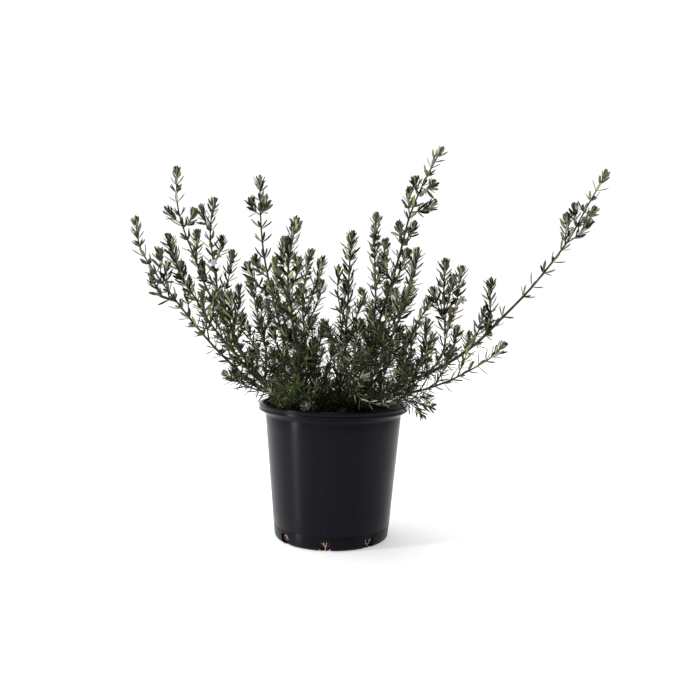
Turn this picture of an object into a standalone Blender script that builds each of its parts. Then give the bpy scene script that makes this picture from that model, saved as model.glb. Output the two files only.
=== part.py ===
"""Potted coastal rosemary: a loose shrub with narrow leaves, grown in a round black nursery pot.

The scene is in metres with +Z up, and the origin is the middle of the pot's underside. The sizes
below are in millimetres: +X is right and +Y is back, away from the side the plant is seen from.
"""

import math
import random
from collections import namedtuple

import bmesh
import bpy
import numpy as np
from mathutils import Vector
from mathutils.geometry import intersect_point_line

MM = 0.001
SEED = 11
GAP = 0.3

# Pot
POT_HEIGHT = 181.5
RIM_RADIUS = 100.0
RIM_BAND = 8.6
RIM_SLOPE = 5.0
RIM_EDGE = 1.0
RIM_LIP = 4.5
WALL_TOP_RADIUS = 91.3
WALL_FOOT_RADIUS = 77.4
FOOT_ROUND = 6.0
WALL = 1.8
POT_SIDES = 40
DRAIN_HOLES = 8
DRAIN_WIDTH = 15.0
DRAIN_HEIGHT = 16.0
DRAIN_REACH = 13.0
DRAIN_ARCH = 3.8
FRONT_HOLE_TURN = math.radians(-5)
SHARP_ANGLE = math.radians(35)

# Potting mix
MIX_DEPTH_BELOW_RIM = 17.0
MIX_LUMP = 1.6
MIX_CROWN = 3.0
MIX_RINGS = 3
MIX_SIDES = 24

# Stems
STEM_SIDES = 4
RING_SPACING = 44.0
ROOT_DEPTH = 15.0
ROOT_LIFT = 9.0
STEEPEST_LEAN = 0.75
TIP_RADIUS = 1.1
TAPER_POWER = 0.9
SIDE_RADIUS = 1.45
FORK_SHARE = 0.65
STEM_HOLE_SIDES = 6
STEM_HOLE_MOUTH = 4.0
SHORTEST_STRETCH = 6.0

# Leaves
LEAF_LENGTH = 18.5
YOUNG_LEAF_LENGTH = 12.5
LEAF_WIDTH = 3.1
LEAF_NECK = 1.0
LEAF_ARCH = 1.0
LEAF_SINK = 1.1
LEAF_SPREAD = 60
YOUNG_LEAF_SPREAD = 34
SPREAD_DRAW = 7
SHORTEST_DRAW = 0.88
LONGEST_DRAW = 1.1
LEAF_BUD = 9.0
PAIR_STEP = 20.5
YOUNG_PAIR_STEP = 12.5
YOUNG_LENGTH = 45.0
LAST_PAIR = 2.4
PAIR_STAGGER = 0.6
BEND_MARGIN = 1.5
LEAF_FOOTPRINT = 4.0
BARE_STEM = 30.0
BARE_SIDE_SHOOT = 8.0
LEAF_CLEARANCE = 0.45
CHECKED_FROM = 3.5
POT_CLEARANCE = 2.0

Branch = namedtuple("Branch", "radius root path side_shoots")

# Each branch leaves the mix at its root and runs through its path to the tip of its last leaf. A
# side shoot starts on the branch, at the point nearest to its own first point.
BRANCHES = {
    "branch_far_left": Branch(
        2.2,
        (-36, 3),
        ((-98, 5, 199), (-131, 8, 222), (-171, 12, 260), (-216, 18, 312), (-251, 20, 358),
         (-268, 20, 388), (-274, 20, 428)),
        (
            ((-216, 18, 312), (-234, -5, 323), (-246, -12, 350)),
            ((-238, 20, 340), (-243, 34, 362), (-248, 42, 389)),
            ((-233, 20, 334), (-227, 2, 348), (-225, -4, 368)),
        ),
    ),
    "branch_left_high": Branch(
        2.3,
        (-25, 14),
        ((-98, 28, 205), (-132, 38, 247), (-160, 50, 291), (-186, 60, 337), (-205, 68, 382),
         (-219, 72, 415), (-229, 75, 452), (-231, 78, 505)),
        (
            ((-222, 72, 422), (-234, 62, 432), (-240, 56, 446)),
            ((-220, 72, 416), (-211, 84, 430), (-208, 90, 449)),
            ((-197, 65, 366), (-203, 85, 388), (-206, 95, 418)),
        ),
    ),
    "branch_left_front": Branch(
        2.0,
        (-27, -9),
        ((-90, -28, 206), (-133, -48, 256), (-156, -60, 286), (-171, -68, 313), (-185, -75, 337),
         (-197, -80, 365), (-205, -85, 398)),
        (((-180, -73, 328), (-186, -90, 343), (-187, -98, 364)),),
    ),
    "branch_left_inner": Branch(
        2.2,
        (-24, 29),
        ((-98, 50, 205), (-140, 72, 246), (-161, 90, 284), (-175, 104, 329), (-185, 115, 379),
         (-190, 121, 416), (-186, 128, 468)),
        (
            ((-190, 120, 418), (-198, 112, 434), (-201, 107, 456)),
            ((-184, 114, 371), (-176, 128, 388), (-175, 134, 414)),
            ((-170, 98, 312), (-158, 98, 352), (-153, 104, 391)),
            ((-177, 106, 333), (-192, 94, 348), (-197, 88, 374)),
        ),
    ),
    "branch_tall_left": Branch(
        2.3,
        (-12, 2),
        ((-48, -8, 209), (-64, -15, 253), (-72, -20, 284), (-80, -25, 314), (-91, -30, 363),
         (-97, -35, 412), (-99, -39, 478)),
        (
            ((-99, -37, 426), (-106, -48, 433), (-108, -56, 448)),
            ((-99, -37, 426), (-94, -26, 437), (-93, -20, 454)),
            ((-83, -26, 322), (-102, -48, 340), (-113, -60, 367)),
            ((-88, -29, 346), (-102, -18, 358), (-107, -10, 378)),
        ),
    ),
    "branch_front_left": Branch(
        2.1,
        (-5, -17),
        ((-38, -55, 217), (-46, -90, 270), (-52, -112, 307), (-54, -130, 342), (-51, -145, 371),
         (-42, -158, 414)),
        (
            ((-53, -136, 356), (-58, -148, 368), (-58, -155, 389)),
            ((-52, -116, 318), (-64, -108, 338), (-68, -102, 361)),
            ((-53, -122, 328), (-45, -114, 348), (-44, -108, 373)),
        ),
    ),
    "branch_back_left": Branch(
        1.9,
        (-10, 21),
        ((-35, 50, 220), (-46, 78, 275), (-50, 98, 318), (-47, 114, 355), (-39, 124, 395)),
        (
            ((-47, 84, 288), (-34, 82, 330), (-19, 80, 383)),
            ((-46, 78, 276), (-30, 96, 310), (-21, 108, 348)),
        ),
    ),
    "branch_centre": Branch(
        2.0,
        (2, -7),
        ((13, -30, 228), (15, -55, 282), (17, -70, 323), (18, -85, 364), (21, -96, 405)),
        (
            ((15, -58, 288), (5, -76, 322), (4, -86, 363)),
            ((14, -46, 262), (25, -58, 290), (34, -68, 323)),
        ),
    ),
    "branch_back_centre": Branch(
        2.0,
        (10, 20),
        ((46, 44, 237), (54, 70, 292), (56, 85, 330), (54, 104, 390), (56, 118, 450)),
        (((55, 88, 336), (66, 108, 368), (71, 122, 413)),),
    ),
    "branch_tall_right": Branch(
        2.4,
        (14, 5),
        ((43, 5, 226), (60, 10, 294), (74, 15, 341), (87, 20, 389), (98, 22, 435),
         (116, 25, 480), (142, 30, 532)),
        (
            ((110, 24, 465), (105, 14, 474), (104, 9, 488)),
            ((98, 22, 436), (97, 34, 452), (99, 40, 478)),
            ((113, 24, 471), (126, 36, 474), (134, 44, 488)),
            ((99, 22, 439), (119, 10, 444), (131, 4, 456)),
            ((91, 20, 402), (86, 30, 412), (83, 36, 430)),
            ((90, 20, 400), (99, 12, 410), (105, 8, 428)),
        ),
    ),
    "branch_front_right": Branch(
        1.9,
        (17, -16),
        ((52, -48, 224), (76, -94, 288), (85, -115, 322), (91, -126, 342), (97, -140, 383)),
        (((80, -104, 302), (90, -96, 318), (97, -90, 341)),),
    ),
    "branch_right_inner": Branch(
        2.1,
        (25, -4),
        ((80, -22, 209), (122, -36, 228), (141, -45, 258), (141, -50, 296), (138, -55, 338),
         (139, -60, 376)),
        (
            ((142, -48, 276), (156, -36, 312), (160, -30, 338), (165, -26, 369)),
            ((140, -51, 303), (128, -64, 318), (121, -74, 339)),
        ),
    ),
    "branch_back_right": Branch(
        1.8,
        (25, 25),
        ((65, 54, 218), (100, 88, 254), (117, 108, 284), (128, 119, 301), (142, 131, 328)),
        (),
    ),
    "branch_far_right": Branch(
        2.6,
        (36, 4),
        ((73, 7, 192), (106, 10, 212), (152, 15, 235), (192, 20, 263), (224, 25, 295),
         (270, 30, 344), (316, 35, 405), (341, 38, 451), (370, 40, 505)),
        (
            ((328, 36, 428), (323, 26, 441), (320, 20, 458)),
            ((328, 36, 428), (346, 46, 438), (360, 51, 457)),
            ((313, 35, 402), (317, 46, 422), (320, 52, 448)),
            ((315, 35, 404), (330, 24, 416), (344, 16, 436)),
            ((206, 22, 278), (209, 10, 304), (207, 2, 330), (208, -1, 354)),
            ((184, 20, 257), (200, 34, 286), (209, 46, 316)),
        ),
    ),
    "branch_low_right": Branch(
        1.8,
        (33, -13),
        ((75, -20, 193), (114, -35, 204), (152, -45, 220), (186, -52, 240), (202, -55, 252),
         (219, -60, 271)),
        (),
    ),
    "branch_drooping": Branch(
        1.5,
        (26, -27),
        ((60, -50, 189), (92, -76, 196), (128, -100, 190)),
        (((88, -74, 196), (108, -72, 200), (127, -64, 200)),),
    ),
    "branch_right_front": Branch(
        1.7,
        (13, -30),
        ((54, -66, 200), (88, -112, 228), (104, -140, 250), (113, -160, 274)),
        (),
    ),
    "branch_low_left": Branch(
        1.6,
        (-29, -24),
        ((-68, -44, 194), (-104, -72, 208), (-137, -96, 229)),
        (),
    ),
    "branch_low_front": Branch(
        1.6,
        (-7, -36),
        ((-24, -66, 192), (-38, -102, 208), (-46, -150, 224)),
        (),
    ),
    "branch_rear_left": Branch(
        1.9,
        (-15, 38),
        ((-45, 76, 222), (-74, 130, 272), (-94, 172, 326), (-101, 195, 386)),
        (((-78, 140, 284), (-64, 152, 312), (-56, 160, 345)),),
    ),
    "branch_rear_right": Branch(
        1.9,
        (14, 38),
        ((46, 84, 228), (82, 136, 280), (108, 176, 332), (118, 198, 384)),
        (((88, 146, 292), (80, 164, 318), (74, 174, 350)),),
    ),
    "branch_rear_middle": Branch(
        1.7,
        (0, 40),
        ((3, 92, 222), (6, 146, 266), (10, 186, 312), (13, 202, 352)),
        (),
    ),
    "branch_front_middle": Branch(
        1.7,
        (5, -29),
        ((18, -76, 210), (25, -122, 248), (30, -160, 300)),
        (),
    ),
    "branch_front_corner": Branch(
        1.8,
        (-17, -24),
        ((-56, -70, 212), (-88, -112, 250), (-103, -140, 292)),
        (),
    ),
}

Shoot = namedtuple("Shoot", "node points radii frames bud bare")
Leaf = namedtuple("Leaf", "node root along normal length")


def plain_material(name, colour, roughness):
    material = bpy.data.materials.new(name)
    material.use_nodes = True
    shader = material.node_tree.nodes["Principled BSDF"]
    shader.inputs["Base Color"].default_value = (*colour, 1)
    shader.inputs["Roughness"].default_value = roughness
    shader.inputs["Metallic"].default_value = 0
    return material


def object_from(name, bm, material):
    """An object made from a bmesh in millimetres."""
    bmesh.ops.recalc_face_normals(bm, faces=bm.faces)
    bmesh.ops.scale(bm, vec=(MM, MM, MM), verts=bm.verts)
    mesh = bpy.data.meshes.new(name)
    bm.to_mesh(mesh)
    bm.free()
    mesh.materials.append(material)
    obj = bpy.data.objects.new(name, mesh)
    bpy.context.scene.collection.objects.link(obj)
    return obj


def cutter_from(name, bm):
    cutter = object_from(name, bm, bpy.data.materials["black_plastic"])
    cutter.hide_render = True
    cutter.display_type = "WIRE"
    return cutter


def cut(obj, cutter):
    boolean = obj.modifiers.new("holes", "BOOLEAN")
    boolean.operation = "DIFFERENCE"
    boolean.object = cutter


def turned(profile, sides):
    """The bmesh that a profile of (radius, height) points makes when it turns round the Z axis."""
    bm = bmesh.new()
    verts = [bm.verts.new((radius, 0, height)) for radius, height in profile]
    edges = [bm.edges.new(pair) for pair in zip(verts, verts[1:])]
    bmesh.ops.spin(
        bm, geom=verts + edges, axis=(0, 0, 1), cent=(0, 0, 0), angle=math.tau, steps=sides, use_merge=True
    )
    bmesh.ops.remove_doubles(bm, verts=bm.verts, dist=1e-4)
    return bm


def wall_radius(height):
    """The radius of the wall's outside at a height."""
    top = POT_HEIGHT - RIM_BAND - RIM_SLOPE
    share = (height - FOOT_ROUND) / (top - FOOT_ROUND)
    return WALL_FOOT_RADIUS + share * (WALL_TOP_RADIUS - WALL_FOOT_RADIUS)


def inner_radius(height):
    return wall_radius(height) - WALL


def build_pot():
    foot_centre = WALL_FOOT_RADIUS - FOOT_ROUND
    under_rim = POT_HEIGHT - RIM_BAND
    profile = [(0, 0)]
    for step in range(3):
        turn = math.radians(90) * step / 2
        profile.append(
            (foot_centre + FOOT_ROUND * math.sin(turn), FOOT_ROUND * (1 - math.cos(turn)))
        )
    profile += [
        (WALL_TOP_RADIUS, under_rim - RIM_SLOPE),
        (RIM_RADIUS - RIM_EDGE, under_rim),
        (RIM_RADIUS, under_rim + RIM_EDGE),
        (RIM_RADIUS, POT_HEIGHT - RIM_EDGE),
        (RIM_RADIUS - RIM_EDGE, POT_HEIGHT),
        (RIM_RADIUS - RIM_LIP, POT_HEIGHT),
        (inner_radius(under_rim - RIM_SLOPE), under_rim - RIM_SLOPE),
        (inner_radius(FOOT_ROUND), FOOT_ROUND),
        (foot_centre, WALL),
        (0, WALL),
    ]
    pot = object_from("pot", turned(profile, POT_SIDES), bpy.data.materials["black_plastic"])
    pot.data.shade_smooth()
    pot.data.set_sharp_from_angle(angle=SHARP_ANGLE)
    cut(pot, drain_hole_cutter())


def drain_hole_cutter():
    """Arched blocks across the foot of the wall, one for each drain hole."""
    outline = [(-DRAIN_WIDTH / 2, -WALL), (DRAIN_WIDTH / 2, -WALL)]
    for step in range(6):
        turn = math.pi * step / 5
        drop = DRAIN_ARCH * (1 - math.sin(turn))
        outline.append((DRAIN_WIDTH / 2 * math.cos(turn), DRAIN_HEIGHT - drop))
    bm = bmesh.new()
    for hole in range(DRAIN_HOLES):
        turn = FRONT_HOLE_TURN - math.pi / 2 + math.tau * hole / DRAIN_HOLES
        outward = Vector((math.cos(turn), math.sin(turn), 0))
        across = Vector((-outward.y, outward.x, 0))
        start = outward * (WALL_FOOT_RADIUS - DRAIN_REACH)
        verts = [bm.verts.new(start + across * x + Vector((0, 0, z))) for x, z in outline]
        block = bmesh.ops.extrude_face_region(bm, geom=[bm.faces.new(verts)])["geom"]
        moved = [item for item in block if isinstance(item, bmesh.types.BMVert)]
        bmesh.ops.translate(bm, verts=moved, vec=outward * (DRAIN_REACH + 2 * FOOT_ROUND))
    return cutter_from("drain_hole_cutter", bm)


def mix_height(x, y):
    """The height of the mix's lumpy surface."""
    edge = POT_HEIGHT - MIX_DEPTH_BELOW_RIM
    reach = min(1.0, math.hypot(x, y) / inner_radius(edge))
    lumps = math.sin(0.19 * x + 0.6) * math.cos(0.23 * y) + 0.6 * math.sin(0.11 * x - 0.31 * y)
    return edge + MIX_CROWN * (1 - reach**2) + MIX_LUMP * lumps * (1 - reach**4)


def build_potting_mix(shoots):
    edge = POT_HEIGHT - MIX_DEPTH_BELOW_RIM
    bottom = WALL + GAP
    corner = WALL_FOOT_RADIUS - FOOT_ROUND
    profile = [(0, bottom), (corner - GAP, bottom)]
    profile += [(inner_radius(height) - 2 * GAP, height) for height in (FOOT_ROUND + GAP, edge)]
    rim = profile[-1][0]
    profile += [(rim * (1 - ring / MIX_RINGS), edge) for ring in range(1, MIX_RINGS + 1)]
    bm = turned(profile, MIX_SIDES)
    for vert in bm.verts:
        if vert.co.z == edge:
            vert.co.z = mix_height(vert.co.x, vert.co.y)
    mix = object_from("potting_mix", bm, bpy.data.materials["bark_mix"])
    cut(mix, stem_hole_cutter(shoots))


def stem_hole_cutter(shoots):
    """A six-sided bar round the buried end of each branch."""
    bm = bmesh.new()
    for shoot in shoots:
        low, high = shoot.points[0], shoot.points[1]
        along = (high - low).normalized()
        radius = (shoot.radii[0] + GAP) / math.cos(math.pi / STEM_HOLE_SIDES)
        length = (high - low).length + GAP + STEM_HOLE_MOUTH
        bar = bmesh.ops.create_cone(
            bm, cap_ends=True, segments=STEM_HOLE_SIDES, radius1=radius, radius2=radius, depth=length
        )["verts"]
        turn = Vector((0, 0, 1)).rotation_difference(along).to_matrix()
        bmesh.ops.rotate(bm, verts=bar, cent=(0, 0, 0), matrix=turn)
        bmesh.ops.translate(bm, verts=bar, vec=low + along * (length / 2 - GAP))
    return cutter_from("stem_hole_cutter", bm)


def smooth_path(points, spacing):
    """Points along a smooth curve through the given ones, about the spacing apart."""
    ends = [2 * points[0] - points[1]] + points + [2 * points[-1] - points[-2]]
    path = [points[0].copy()]
    for before, start, end, after in zip(ends, ends[1:], ends[2:], ends[3:]):
        count = max(1, round((end - start).length / spacing))
        for step in range(1, count + 1):
            t = step / count
            path.append(
                0.5
                * (
                    2 * start
                    + (end - before) * t
                    + (2 * before - 5 * start + 4 * end - after) * t**2
                    + (3 * start - before - 3 * end + after) * t**3
                )
            )
    return path


def shortened(path, cut_length):
    """The path with that much of its far end taken off."""
    path = list(path)
    while (path[-1] - path[-2]).length <= cut_length + SHORTEST_STRETCH:
        cut_length -= (path[-1] - path[-2]).length
        path.pop()
        if cut_length <= 0:
            return path
    path[-1] = path[-1] + (path[-2] - path[-1]).normalized() * cut_length
    return path


def frames_along(points):
    """A (tangent, normal, binormal) for each point, turned as little as the path allows."""
    frames = []
    normal = None
    for index, point in enumerate(points):
        before = points[max(index - 1, 0)]
        after = points[min(index + 1, len(points) - 1)]
        tangent = (after - before).normalized()
        if normal is None:
            normal = tangent.cross(Vector((0.3, 1, 0.2)))
        normal = (normal - tangent * normal.dot(tangent)).normalized()
        frames.append((tangent, normal, tangent.cross(normal)))
    return frames


def shoot_along(node, points, root_radius, bare):
    bud = points[-1]
    points = shortened(points, LEAF_BUD)
    last = len(points) - 1
    radii = [
        TIP_RADIUS + (root_radius - TIP_RADIUS) * (1 - index / last) ** TAPER_POWER
        for index in range(last + 1)
    ]
    return Shoot(node, points, radii, frames_along(points), bud, bare)


def fork_on(shoot, wanted):
    """The point on the stem's middle line that is nearest to the wanted one, and the radius there."""
    found = []
    for index, (low, high) in enumerate(zip(shoot.points, shoot.points[1:])):
        share = intersect_point_line(wanted, low, high)[1]
        share = min(max(share, 0.0), 1.0)
        point = low.lerp(high, share)
        radius = shoot.radii[index] + share * (shoot.radii[index + 1] - shoot.radii[index])
        found.append(((point - wanted).length, point, radius))
    return min(found, key=lambda item: item[0])[1:]


def grown_branch(node, branch):
    """The branch's main stem, straight where it is in the mix, and its side shoots."""
    mouth = Vector((*branch.root, mix_height(*branch.root)))
    lean = Vector(branch.path[0]) - mouth
    sideways = min(1.0, STEEPEST_LEAN * lean.z / math.hypot(lean.x, lean.y))
    straight = Vector((lean.x * sideways, lean.y * sideways, lean.z)).normalized()
    buried = mouth - straight * ROOT_DEPTH
    risen = mouth + straight * ROOT_LIFT
    curve = smooth_path([risen] + [Vector(point) for point in branch.path], RING_SPACING)
    main = shoot_along(node, [buried] + curve, branch.radius, BARE_STEM + ROOT_DEPTH)
    shoots = [main]
    for side in branch.side_shoots:
        fork, radius = fork_on(main, Vector(side[0]))
        line = smooth_path([fork] + [Vector(point) for point in side[1:]], RING_SPACING)
        shoots.append(shoot_along(node, line, min(SIDE_RADIUS, FORK_SHARE * radius), BARE_SIDE_SHOOT))
    return shoots


def bar_distances(start, end, starts, ends):
    """How far a straight bar's middle line is from each of many others."""
    own, theirs, between = end - start, ends - starts, start - starts
    a, e, b = own @ own, np.einsum("ij,ij->i", theirs, theirs), theirs @ own
    c, f = between @ own, np.einsum("ij,ij->i", theirs, between)
    s = np.clip((b * f - c * e) / np.maximum(a * e - b * b, 1e-9), 0, 1)
    t = np.clip((b * s + f) / e, 0, 1)
    s = np.clip((b * t - c) / a, 0, 1)
    return np.linalg.norm(between + s[:, None] * own - t[:, None] * theirs, axis=1)


class Crowd:
    """The bars, each a stretch of stem or a leaf, that the next leaf has to keep clear of."""

    def __init__(self):
        self.starts, self.ends, self.radii, self.owners = [], [], [], []

    def add(self, start, end, radius, owner):
        self.starts.append(start)
        self.ends.append(end)
        self.radii.append(radius)
        self.owners.append(owner)

    def has_room(self, start, end, radius, owner):
        starts, ends = np.array(self.starts), np.array(self.ends)
        room = bar_distances(np.array(start), np.array(end), starts, ends) - np.array(self.radii) - radius
        others = np.array(self.owners) != owner
        return bool((room[others] > LEAF_CLEARANCE).all())


def clear_of_pot(points):
    """Whether the points are all above the rim, all over the mix inside it, or all outside it."""
    bore = inner_radius(POT_HEIGHT - MIX_DEPTH_BELOW_RIM)
    reaches = [math.hypot(point.x, point.y) for point in points]
    above = all(point.z > POT_HEIGHT + POT_CLEARANCE for point in points)
    outside = all(reach > RIM_RADIUS + POT_CLEARANCE for reach in reaches)
    inside = all(reach < bore - POT_CLEARANCE for reach in reaches) and all(
        point.z > mix_height(point.x, point.y) + POT_CLEARANCE for point in points
    )
    return above or outside or inside


def leaf_stations(shoot):
    """(distance from the root, share of youth) for each pair of leaves, moved off the bends."""
    lengths = [(b - a).length for a, b in zip(shoot.points, shoot.points[1:])]
    total = sum(lengths)
    rings = [sum(lengths[:index]) for index in range(len(lengths) + 1)]
    stations = []
    place = shoot.bare
    while place < total - LAST_PAIR - LEAF_FOOTPRINT:
        youth = max(0.0, 1 - (total - place) / YOUNG_LENGTH)
        near = [ring for ring in rings if -BEND_MARGIN < ring - place < LEAF_FOOTPRINT]
        place = near[0] + BEND_MARGIN if near else place
        stations.append((place, youth))
        place += PAIR_STEP + (YOUNG_PAIR_STEP - PAIR_STEP) * youth
    stations.append((total - LAST_PAIR, 1))
    return stations


def point_on(shoot, place):
    """The stem's middle, radius and frame at a distance from its root."""
    for index, (low, high) in enumerate(zip(shoot.points, shoot.points[1:])):
        length = (high - low).length
        if place <= length or index == len(shoot.points) - 2:
            share = place / length
            radius = shoot.radii[index] + share * (shoot.radii[index + 1] - shoot.radii[index])
            along = (high - low).normalized()
            normal = shoot.frames[index][1]
            normal = (normal - along * normal.dot(along)).normalized()
            return low + (high - low) * share, radius, (along, normal, along.cross(normal))
        place -= length


def grow_leaves(shoots):
    """Leaves in crossed pairs along every shoot, left out where they would touch what is there."""
    rng = random.Random(SEED)
    crowd = Crowd()
    for owner, shoot in enumerate(shoots):
        for index, (low, high) in enumerate(zip(shoot.points, shoot.points[1:])):
            crowd.add(low, high, shoot.radii[index], owner)
    leaves = []
    for owner, shoot in enumerate(shoots):
        for number, (place, youth) in enumerate(leaf_stations(shoot)):
            spread = LEAF_SPREAD + (YOUNG_LEAF_SPREAD - LEAF_SPREAD) * youth
            spread = math.radians(spread + rng.uniform(-SPREAD_DRAW, SPREAD_DRAW))
            length = LEAF_LENGTH + (YOUNG_LEAF_LENGTH - LEAF_LENGTH) * youth
            for side in (0, 1):
                middle, radius, (along, normal, binormal) = point_on(shoot, place - PAIR_STAGGER * side)
                turn = math.pi / 2 * (number % 2) + math.pi * side
                outward = normal * math.cos(turn) + binormal * math.sin(turn)
                direction = along * math.cos(spread) + outward * math.sin(spread)
                size = length * rng.uniform(SHORTEST_DRAW, LONGEST_DRAW)
                flat = radius * math.cos(math.pi / STEM_SIDES)
                root = middle + direction * max(0.0, flat - LEAF_SINK)
                tip = root + direction * size
                start = root + direction * CHECKED_FROM
                if not clear_of_pot((start, tip)):
                    continue
                if not crowd.has_room(start, tip, LEAF_WIDTH / 2, owner):
                    continue
                crowd.add(start, tip, LEAF_WIDTH / 2, owner)
                upward = (along - direction * along.dot(direction)).normalized()
                leaves.append(Leaf(shoot.node, root, direction, upward, size))
    return leaves


def ring_of(bm, middle, normal, binormal, radius):
    """The corners of a square section, its flats facing along the normal and the binormal."""
    turns = [math.tau * (corner + 0.5) / STEM_SIDES for corner in range(STEM_SIDES)]
    outward = [normal * math.cos(turn) + binormal * math.sin(turn) for turn in turns]
    return [bm.verts.new(middle + way * radius) for way in outward]


def stem_bmesh(shoot):
    bm = bmesh.new()
    rings = [
        ring_of(bm, point, normal, binormal, radius)
        for point, radius, (_, normal, binormal) in zip(shoot.points, shoot.radii, shoot.frames)
    ]
    for low, high in zip(rings, rings[1:]):
        for corner in range(STEM_SIDES):
            following = (corner + 1) % STEM_SIDES
            bm.faces.new((low[corner], low[following], high[following], high[corner]))
    bm.faces.new(rings[0][::-1])
    bud = bm.verts.new(shoot.bud)
    for corner in range(STEM_SIDES):
        bm.faces.new((rings[-1][corner], rings[-1][(corner + 1) % STEM_SIDES], bud))
    return bm


def leaf_bmesh(leaf):
    """A narrow arched blade: a neck, a wide middle, a pointed tip and a keel along its underside.

    The keel starts as deep as makes each half of the underside flat.
    """
    across = leaf.along.cross(leaf.normal)
    spread = (LEAF_WIDTH - LEAF_NECK) / 2 + LEAF_NECK / 4
    depth = LEAF_ARCH * LEAF_NECK / 2 / spread
    middle = leaf.root + leaf.along * leaf.length / 2 + leaf.normal * LEAF_ARCH
    bm = bmesh.new()
    neck = [bm.verts.new(leaf.root + across * side * LEAF_NECK / 2) for side in (1, -1)]
    wide = [bm.verts.new(middle + across * side * LEAF_WIDTH / 2) for side in (1, -1)]
    keel = bm.verts.new(leaf.root - leaf.normal * depth)
    tip = bm.verts.new(leaf.root + leaf.along * leaf.length)
    bm.faces.new((*neck, keel))
    bm.faces.new((*neck, *reversed(wide)))
    bm.faces.new((*wide, tip))
    for side in (0, 1):
        bm.faces.new((neck[side], wide[side], tip, keel))
    return bm


def build_branch(node, shoots, leaves):
    """One solid: the main stem with its side shoots and leaves fused to it."""
    green = bpy.data.materials["grey_green_leaf"]
    stem = object_from(node, stem_bmesh(shoots[0]), green)
    repeats = bpy.data.collections.new(node + "_repeats")
    bpy.context.scene.collection.children.link(repeats)
    pieces = [stem_bmesh(shoot) for shoot in shoots[1:]] + [leaf_bmesh(leaf) for leaf in leaves]
    for bm in pieces:
        piece = object_from(node + "_repeat", bm, green)
        bpy.context.scene.collection.objects.unlink(piece)
        repeats.objects.link(piece)
    union = stem.modifiers.new("fuse", "BOOLEAN")
    union.operation = "UNION"
    union.operand_type = "COLLECTION"
    union.collection = repeats
    union.solver = "MANIFOLD"
    graph = bpy.context.evaluated_depsgraph_get()
    fused = bpy.data.meshes.new_from_object(stem.evaluated_get(graph))
    stem.modifiers.clear()
    stem.data = fused
    for piece in list(repeats.objects):
        bpy.data.objects.remove(piece)
    bpy.data.collections.remove(repeats)


def main():
    for obj in list(bpy.data.objects):
        bpy.data.objects.remove(obj)
    plain_material("black_plastic", (0.012, 0.012, 0.015), 0.42)
    plain_material("bark_mix", (0.05, 0.03, 0.02), 0.95)
    plain_material("grey_green_leaf", (0.10, 0.13, 0.08), 0.7)
    grown = {node: grown_branch(node, branch) for node, branch in BRANCHES.items()}
    build_pot()
    build_potting_mix([shoots[0] for shoots in grown.values()])
    leaves = grow_leaves([shoot for shoots in grown.values() for shoot in shoots])
    for node, shoots in grown.items():
        build_branch(node, shoots, [leaf for leaf in leaves if leaf.node == node])


main()
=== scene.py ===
"""Potted coastal rosemary: the looks of the shrub and its pot, and the light and camera.

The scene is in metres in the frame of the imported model, with its origin under the middle of the pot.
The sizes below are in millimetres: +X is right and +Y is back, away from the camera.
"""

import math
import random
from collections import namedtuple

import bmesh
import bpy
import numpy as np
from mathutils import Matrix, Vector, noise


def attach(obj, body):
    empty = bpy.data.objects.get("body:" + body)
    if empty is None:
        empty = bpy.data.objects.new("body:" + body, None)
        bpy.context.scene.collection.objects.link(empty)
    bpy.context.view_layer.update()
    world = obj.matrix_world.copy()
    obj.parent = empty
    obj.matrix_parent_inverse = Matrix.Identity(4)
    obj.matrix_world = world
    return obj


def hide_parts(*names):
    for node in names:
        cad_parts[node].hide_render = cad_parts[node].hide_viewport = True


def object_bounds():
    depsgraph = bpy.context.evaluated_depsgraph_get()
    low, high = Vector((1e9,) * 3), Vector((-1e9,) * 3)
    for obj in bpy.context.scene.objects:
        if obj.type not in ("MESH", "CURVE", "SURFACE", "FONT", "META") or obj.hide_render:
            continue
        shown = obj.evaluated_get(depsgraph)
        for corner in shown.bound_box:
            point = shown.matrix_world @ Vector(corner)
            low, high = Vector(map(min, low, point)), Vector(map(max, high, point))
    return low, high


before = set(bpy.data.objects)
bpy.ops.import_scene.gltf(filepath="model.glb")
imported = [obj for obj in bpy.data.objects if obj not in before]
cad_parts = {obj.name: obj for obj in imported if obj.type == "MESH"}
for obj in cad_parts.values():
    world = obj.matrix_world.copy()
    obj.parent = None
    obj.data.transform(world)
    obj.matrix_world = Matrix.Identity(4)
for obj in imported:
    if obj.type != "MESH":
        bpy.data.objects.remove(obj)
cad_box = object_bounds()

MM = 0.001
SEED = 11

# Pot
POT_HEIGHT = 181.5
RIM_RADIUS = 100.0
RIM_BAND = 8.6
RIM_SLOPE = 5.0
RIM_EDGE = 1.0
RIM_LIP = 4.5
WALL_TOP_RADIUS = 91.3
WALL_FOOT_RADIUS = 77.4
FOOT_ROUND = 6.0
WALL = 1.8
POT_SIDES = 160
POT_SHARP_ANGLE = math.radians(32)
RIM_BEAD = 0.35
FOOT_LINE = 19.0
FOOT_STEP = 0.35
DRAIN_HOLES = 8
DRAIN_WIDTH = 15.0
DRAIN_HEIGHT = 16.0
DRAIN_REACH = 13.0
DRAIN_ARCH = 3.8
DRAIN_ARCH_STEPS = 12
FRONT_HOLE_TURN = math.radians(-5)

# Potting mix
MIX_DEPTH_BELOW_RIM = 17.0
MIX_LUMP = 1.6
MIX_CROWN = 3.0
MIX_RINGS = 30
MIX_SIDES = 96
MIX_ROUGHNESS = 1.1
WALL_GAP = 0.6
CHIPS = 520
CHIPS_FROM_WALL = 6
CHIP_LENGTHS = (2.5, 9.0)
CRUMBS = 44
CRUMB_LENGTHS = (2.2, 4.4)
CRUMB_DEPTHS = (4.0, 8.5)

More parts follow.
